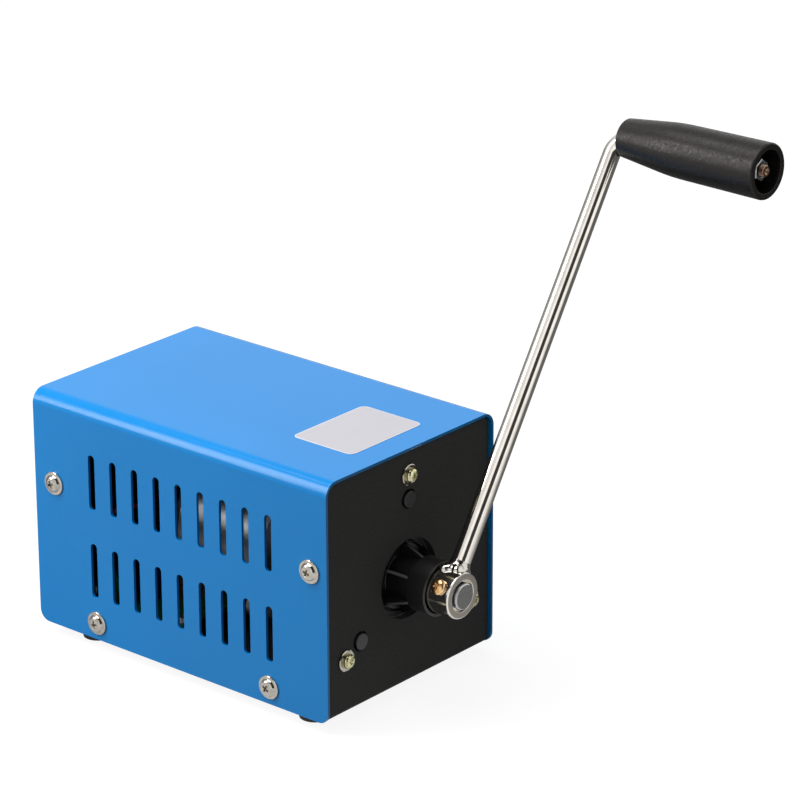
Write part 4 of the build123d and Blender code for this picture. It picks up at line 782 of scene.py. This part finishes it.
class OBJECT_OT_generator_arm(bpy.types.Operator):
    """Draw the arm out of a bar, bend it into the grip's spindle and weld it to the hub"""

    bl_idname = "object.generator_arm"
    bl_label = "Arm"

    def execute(self, context):
        settings = context.scene.generator_crank
        root, tip = settings.arm_radii
        bend = settings.elbow
        bend_start = settings.throw - bend
        spindle_end = ARM_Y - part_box("grip_washer")[1].y
        only()
        bpy.ops.mesh.primitive_circle_add(
            vertices=64, radius=root, fill_type="NGON", location=(0, 0, ARM_ROOT))
        arm = added("crank_arm_bar")
        bpy.ops.object.mode_set(mode="EDIT")
        bpy.ops.mesh.select_mode(type="FACE")
        bpy.ops.mesh.select_all(action="SELECT")
        extrude(z=bend_start - ARM_ROOT)
        ratio = tip / root
        bpy.ops.transform.resize(value=(ratio, ratio, 1), center_override=(0, 0, bend_start))
        choose(arm, "FACE", lambda middle, normal: middle.z > bend_start - SLIVER)
        bpy.ops.mesh.spin(
            steps=16, angle=math.radians(-90), center=(bend, 0, bend_start), axis=(0, 1, 0))
        extrude(x=spindle_end - bend)
        settle(arm)
        choose(arm, "FACE", lambda middle, normal: middle.x > spindle_end - SLIVER)
        height = settings.throw
        x = spindle_end
        stud, groove, threads = 2.0 * MM, 1.72 * MM, 18
        bpy.ops.transform.resize(value=(0.97, 0.97, 0.97), center_override=(x, 0, height))
        radius = tip * 0.97
        steps = [(0.0, stud)] + [(0.17 * MM, stud), (0.18 * MM, groove)] * threads
        steps += [(0.15 * MM, stud * 0.85), (0.0, stud * 0.6), (-0.7 * MM, stud * 0.25)]
        for forward, next_radius in steps:
            extrude(x=forward)
            x += forward
            ratio = next_radius / radius
            bpy.ops.transform.resize(value=(1, ratio, ratio), center_override=(x, 0, height))
            radius = next_radius
        settle(arm)
        arm.data.materials.append(finish_of("chrome"))
        arm.data.materials.append(worn_thread())
        worn_from = spindle_end + 0.5 * MM
        for face in arm.data.polygons:
            if face.center.x > worn_from:
                face.material_index = 1
        moved(arm, along_arm(settings))
        dress(arm, "crank", "chrome", "crank_arm")
        self.add_weld(settings)
        return {"FINISHED"}

    @staticmethod
    def add_weld(settings):
        """A smoothed, lumpy bead round the arm's root, cut short on the side of the gearbox's collar."""
        core = turned("weld_bead", [(5.0, 3.9), (8.6, 3.9), (9.6, 3.6), (10.8, 3.35), (12.0, 3.1)], sides=32)
        hub_radius = 8.0
        lumps = [core]
        for angle, reach, radius in WELD_LUMPS:
            x = reach * math.cos(math.radians(angle))
            y = reach * math.sin(math.radians(angle))
            height = math.sqrt(hub_radius ** 2 - y ** 2) - 0.2 * radius
            only()
            bpy.ops.mesh.primitive_uv_sphere_add(
                segments=24, ring_count=12, radius=radius * MM, location=(x * MM, y * MM, height * MM))
            lumps.append(added("weld_lump"))
        only(*lumps)
        bpy.context.view_layer.objects.active = core
        bpy.ops.object.join()
        modified(core, "REMESH", mode="VOXEL", voxel_size=0.22 * MM, use_smooth_shade=True)
        modified(core, "SMOOTH", factor=0.5, iterations=45)
        ripples = bpy.data.textures.new("weld_ripples", "CLOUDS")
        ripples.noise_scale = 3.0 * MM
        modified(core, "DISPLACE", texture=ripples, strength=settings.weld_lumps, mid_level=0.5,
                 texture_coords="LOCAL")
        choose(core, "FACE")
        bpy.ops.mesh.bisect(
            plane_co=(-WELD_CLEARANCE, 0, 0), plane_no=(-1, 0, 0), clear_outer=True, use_fill=True)
        settle(core, sharp=70)
        moved(core, along_arm(settings))
        core.data.materials.append(weld_nickel())
        dress(core, "crank", "chrome", weighted=False)


# Each lump's angle round the arm from the front in degrees, and its distance from the arm and radius in millimetres.
WELD_LUMPS = [
    (0, 2.6, 1.7), (45, 3.0, 1.8), (95, 3.2, 1.9), (145, 2.6, 1.7), (180, 1.9, 1.5), (-145, 2.9, 2.0),
    (-105, 3.5, 2.2), (-60, 3.3, 2.1), (-25, 2.9, 1.8), (-112, 4.9, 1.9),
]


class OBJECT_OT_generator_hub(bpy.types.Operator):
    """Turn the hub and the end of the crank shaft"""

    bl_idname = "object.generator_hub"
    bl_label = "Hub and shaft"

    def execute(self, context):
        settings = context.scene.generator_crank
        hub = turned("crank_hub_turned", [
            (76.1, 7.7), (76.4, 7.95), (86.55, 7.95), (86.85, 7.8), (87.0, 7.5), (87.0, 5.7), (86.9, 5.4),
            (86.7, 5.3), (84.0, 5.3),
        ], sides=96)
        moved(hub, FACING_FRONT)
        for side in (-1, 1):
            spot = turned("spot_cutter", [(HUB_SCREW_SEAT, 3.1), (9.0, 3.1)], sides=32)
            combined(hub, moved(spot, across_hub(settings, side)))
        rounded(hub, 0.08 * MM, sharp=60)
        settle(hub, sharp=40)
        moved(hub, CRANK_AXIS)
        hub.data.materials.append(finish_of("chrome"))
        hub.data.materials.append(faced_nickel())
        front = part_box("crank_hub")[0].y
        for face in hub.data.polygons:
            if face.normal.y < -0.9 and face.center.y < front + 0.05 * MM:
                face.material_index = 1
        dress(hub, "crank", "chrome", "crank_hub")

        shaft = turned("crank_shaft_end", [
            (51.3, 4.8), (78.0, 4.8), (78.0, 4.6), (87.5, 4.6), (87.75, 4.45), (88.0, 4.1), (88.03, 3.9),
        ], sides=96)
        flat = box("flat_cutter", (20 * MM, 2 * MM, 10 * MM), (0, -4.9 * MM, 82.5 * MM))
        combined(shaft, flat)
        moved(shaft, FACING_FRONT)
        lean = Matrix.Rotation(math.radians(90) - settings.arm_angle, 4, "Y")
        settle(shaft, sharp=40)
        moved(shaft, CRANK_AXIS @ lean)
        shaft.data.materials.append(finish_of("zinc_steel"))
        shaft.data.materials.append(sawn_steel())
        for face in shaft.data.polygons:
            if face.normal.y < -0.95:
                face.material_index = 1
        dress(shaft, "crank", "gear_steel", "crank_shaft")
        return {"FINISHED"}


class OBJECT_OT_generator_grip(bpy.types.Operator):
    """Turn the grip with its sink, and the nut in it"""

    bl_idname = "object.generator_grip"
    bl_label = "Grip"

    def execute(self, context):
        low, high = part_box("grip")
        axis = Matrix.Translation(((low.x + high.x) / 2, 0, (low.z + high.z) / 2))
        grip = turned("crank_grip", [
            (84.9, 4.2), (84.9, 6.1), (85.05, 6.4), (85.4, 6.62), (99.5, 8.32), (103.0, 8.73), (106.0, 8.98),
            (109.5, 9.13), (113.5, 9.19), (141.3, 9.5), (141.75, 9.38), (142.0, 9.05), (142.0, 7.6),
            (141.9, 7.3), (141.5, 7.1), (134.8, 7.0), (134.8, 3.3),
        ], sides=96)
        settle(grip, sharp=40)
        moved(grip, axis @ FACING_FRONT)
        dress(grip, "grip", "grip_plastic", "grip")

        across_flats = 7.0
        radius = across_flats / 2 / math.cos(math.radians(30))
        nut = turned("grip_nut_hex", [
            (136.5, radius * 0.93), (136.75, radius), (139.4, radius), (139.7, radius * 0.88), (139.7, 2.4),
            (139.35, 2.05),
        ], sides=6)
        rounded(nut, 0.12 * MM, segments=3, sharp=20)
        ring = turned("grip_spring_washer", [(135.6, 3.7), (135.75, 3.9), (136.35, 3.9), (136.5, 3.7)], sides=48)
        only(nut, ring)
        bpy.context.view_layer.objects.active = nut
        bpy.ops.object.join()
        settle(nut, sharp=30)
        moved(nut, axis @ FACING_FRONT)
        nut.data.materials.append(dark_nickel())
        dress(nut, "crank", "zinc_steel", "grip_nut")
        return {"FINISHED"}


# ---------------------------------------------------------------- rear pieces


class OBJECT_OT_generator_knob(bpy.types.Operator):
    """Turn the voltage knob with its flutes and its white line"""

    bl_idname = "object.generator_knob"
    bl_label = "Knob"

    def execute(self, context):
        low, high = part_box("knob")
        middle = Vector(((low.x + high.x) / 2, 0, (low.z + high.z) / 2))
        facing_rear = Matrix.Translation(middle) @ turn("X", -90)
        knob = turned("voltage_knob", [
            (67.0, 7.5), (79.3, 7.15), (80.1, 6.9), (80.5, 6.3), (80.5, 5.2), (80.2, 4.9), (80.2, 1.0),
        ], sides=72)
        flute = turned("flute_cutter", [(68.5, 0.95), (84.0, 0.95)], sides=16)
        flutes = copies(flute, "flute_cutters", [
            turn("Z", 30 * index + 15) @ Matrix.Translation((7.85 * MM, 0, 0)) for index in range(12)
        ])
        combined(knob, flutes)
        rounded(knob, 0.15 * MM, sharp=40)
        settle(knob, sharp=40)
        moved(knob, facing_rear)
        dress(knob, "knob", "black_plastic", "knob")

        line = box("knob_line", (0.9 * MM, 5.0 * MM, 0.5 * MM), (0, 4.0 * MM, 80.3 * MM))
        rounded(line, 0.12 * MM)
        settle(line)
        moved(line, facing_rear)
        line.data.materials.append(white_paint())
        dress(line, "knob", "black_plastic")
        return {"FINISHED"}


# ---------------------------------------------------------------- stage


def aim(azimuth, elevation, roll):
    """The rotation of a camera or lamp that looks at the object from this side."""
    back = Vector((
        math.sin(azimuth) * math.cos(elevation),
        -math.cos(azimuth) * math.cos(elevation),
        math.sin(elevation),
    ))
    across = Vector((0, 0, 1)).cross(back).normalized()
    upward = back.cross(across)
    right = math.cos(roll) * across + math.sin(roll) * upward
    top = math.cos(roll) * upward - math.sin(roll) * across
    return Matrix((right, top, back)).transposed()


class OBJECT_OT_generator_stage(bpy.types.Operator):
    """Add the camera, the floor, the softboxes and the white surroundings"""

    bl_idname = "object.generator_stage"
    bl_label = "Stage"

    def execute(self, context):
        settings = context.scene.generator_stage
        bpy.ops.object.camera_add(location=settings.camera_place)
        camera = context.object
        camera.name = "stage_camera"
        camera.rotation_euler = aim(
            settings.camera_azimuth, settings.camera_elevation, settings.camera_roll).to_euler()
        camera.data.lens = settings.focal_length
        camera.data.sensor_width = 36.0
        camera.data.clip_start = 0.01
        camera.data.clip_end = 50.0
        context.scene.camera = camera
        context.scene.view_settings.view_transform = "Standard"
        self.add_floor()
        # Behind the case on its left: lights the left wall, and its long reflection runs down the cover's bend.
        self.add_softbox("side_softbox", -132, 31, 0.7, (0.21, 0.52), 3.15)
        # Overhead, a little behind: lights the top.
        self.add_softbox("top_softbox", -150, 75, 2.2, (1.6, 1.6), 35.0)
        self.set_world(context, settings.ambient)
        return {"FINISHED"}

    def add_floor(self):
        bpy.ops.mesh.primitive_plane_add(size=8.0)
        floor = bpy.context.object
        floor.name = "stage_floor"
        material = bpy.data.materials.new("white_paper_floor")
        material.use_nodes = True
        tree = material.node_tree
        tree.nodes.clear()
        path = add_node(tree, "LightPath")
        # The paper ends in front on the right, so that metal shows a dark edge there.
        place = add_node(tree, "TexCoord").outputs["Object"]
        to_edge = add_node(tree, "VectorMath", {0: place, 1: (1.0, 0.5, 0.0)}, operation="DOT_PRODUCT")
        paper = add_node(tree, "MapRange", {
            "Value": to_edge.outputs["Value"], "From Min": -0.06, "From Max": 0.07, "To Min": 1.0, "To Max": 0.03})
        mirrored = add_node(tree, "Math", {
            0: path.outputs["Is Glossy Ray"], 1: paper.outputs["Result"]}, operation="MULTIPLY")
        seen = add_node(tree, "Math", {
            0: self.seen_straight(tree, path), 1: mirrored.outputs[0]}, operation="MAXIMUM")
        strength = add_node(tree, "Math", {0: seen.outputs[0], 1: 0.90}, operation="MULTIPLY")
        diffuse = add_node(tree, "BsdfDiffuse", {"Color": linear(0x6C6C6C)})
        glow = add_node(tree, "Emission", {"Color": linear(0xFFFFFF), "Strength": strength.outputs[0]})
        both = add_node(tree, "AddShader", {0: diffuse.outputs[0], 1: glow.outputs[0]})
        add_node(tree, "OutputMaterial", {"Surface": both.outputs[0]})
        floor.data.materials.append(material)

    @staticmethod
    def seen_straight(tree, path):
        """One for rays that show the background itself: from the camera or through glass."""
        return add_node(tree, "Math", {
            0: path.outputs["Is Camera Ray"], 1: path.outputs["Is Transmission Ray"],
        }, operation="MAXIMUM").outputs[0]

    @staticmethod
    def add_softbox(name, azimuth, elevation, distance, size, power):
        """A soft lamp that shines at the object from this side."""
        centre = Vector((0, 0, 0.06))
        rotation = aim(math.radians(azimuth), math.radians(elevation), 0)
        place = centre + rotation.col[2] * distance
        bpy.ops.object.light_add(type="AREA", location=place, rotation=rotation.to_euler())
        lamp = bpy.context.object
        lamp.name = name
        lamp.data.shape = "RECTANGLE"
        lamp.data.size, lamp.data.size_y = size
        lamp.data.energy = power
        lamp.visible_camera = False

    def set_world(self, context, ambient):
        """White walls with a darker ceiling, and less plain light from the front right."""
        world = bpy.data.worlds.new("white_studio")
        context.scene.world = world
        world.use_nodes = True
        tree = world.node_tree
        tree.nodes.clear()
        path = add_node(tree, "LightPath")
        direction = add_node(tree, "TexCoord").outputs["Generated"]
        height = add_node(tree, "SeparateXYZ", {0: direction}).outputs["Z"]
        ceiling = add_node(tree, "MapRange", {
            "Value": height, "From Min": 0.62, "From Max": 0.8, "To Min": 1.0, "To Max": 0.22})
        towards_light = add_node(tree, "VectorMath", {
            0: direction, 1: (-0.45, 0.45, 0.77)}, operation="DOT_PRODUCT")
        plain_light = add_node(tree, "MapRange", {
            "Value": towards_light.outputs["Value"], "From Min": -1.0, "From Max": 1.0,
            "To Min": 0.0, "To Max": 2 * ambient})
        # A dark stand in front, for the line that runs up the arm.
        sideways = add_node(tree, "VectorMath", {0: direction, 1: (0.899, -0.438, 0.0)}, operation="DOT_PRODUCT")
        off_stand = add_node(tree, "Math", {0: sideways.outputs["Value"]}, operation="ABSOLUTE")
        stand = add_node(tree, "MapRange", {
            "Value": off_stand.outputs[0], "From Min": 0.24, "From Max": 0.36, "To Min": 0.05, "To Max": 1.35})
        depth = add_node(tree, "SeparateXYZ", {0: direction}).outputs["Y"]
        behind = add_node(tree, "MapRange", {
            "Value": depth, "From Min": -0.3, "From Max": -0.1, "To Min": 0.0, "To Max": 1.0})
        # The wall straight behind is grey, for the arm's far edge.
        rear_wall = add_node(tree, "MapRange", {
            "Value": depth, "From Min": 0.85, "From Max": 0.97, "To Min": 1.0, "To Max": 0.35})
        front = add_node(tree, "Mix", {
            0: behind.outputs["Result"], 2: stand.outputs["Result"], 3: rear_wall.outputs["Result"]})
        # The stand's factor also lifts the walls beside it, so they burn out in the arm as they do in the photograph.
        walls = add_node(tree, "Math", {
            0: ceiling.outputs["Result"], 1: front.outputs[0]}, operation="MULTIPLY")
        mirrored = add_node(tree, "Mix", {
            0: path.outputs["Is Glossy Ray"], 2: plain_light.outputs["Result"], 3: walls.outputs[0]})
        strength = add_node(tree, "Mix", {
            0: self.seen_straight(tree, path), 2: mirrored.outputs[0], 3: 1.0})
        glow = add_node(tree, "Background", {
            "Color": linear(0xFFFFFF), "Strength": strength.outputs[0]})
        add_node(tree, "OutputWorld", {"Surface": glow.outputs[0]})


# ---------------------------------------------------------------- finishes of the CAD nodes


class OBJECT_OT_generator_finishes(bpy.types.Operator):
    """Give every part of the frame its material"""

    bl_idname = "object.generator_finishes"
    bl_label = "Finishes"

    def execute(self, context):
        for name, slot in slot_of().items():
            node = frame["nodes"][name]
            node.data.materials.clear()
            node.data.materials.append(finish_of(slot))
        return {"FINISHED"}


class VIEW3D_PT_generator(bpy.types.Panel):
    bl_label = "Generator"
    bl_idname = "VIEW3D_PT_generator"
    bl_space_type = "VIEW_3D"
    bl_region_type = "UI"
    bl_category = "Generator"

    def draw(self, context):
        for operator in OPERATORS:
            self.layout.operator(operator.bl_idname)


OPERATORS = (
    OBJECT_OT_generator_stage, OBJECT_OT_generator_finishes, OBJECT_OT_generator_cover,
    OBJECT_OT_generator_screws, OBJECT_OT_generator_label, OBJECT_OT_generator_gearbox, OBJECT_OT_generator_arm,
    OBJECT_OT_generator_hub, OBJECT_OT_generator_grip, OBJECT_OT_generator_knob,
)
SETTINGS = {
    "generator_case": GeneratorCase, "generator_crank": GeneratorCrank, "generator_stage": GeneratorStage,
}
CLASSES = (*SETTINGS.values(), *OPERATORS, VIEW3D_PT_generator)


def register():
    for cls in CLASSES:
        bpy.utils.register_class(cls)
    for name, group in SETTINGS.items():
        setattr(bpy.types.Scene, name, PointerProperty(type=group))


def unregister():
    for name in SETTINGS:
        delattr(bpy.types.Scene, name)
    for cls in reversed(CLASSES):
        bpy.utils.unregister_class(cls)


def main():
    register()
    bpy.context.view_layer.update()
    for operator in OPERATORS:
        category, action = operator.bl_idname.split(".")
        bpy.ops.object.select_all(action="DESELECT")
        getattr(getattr(bpy.ops, category), action)()


if __name__ == "__main__":
    main()
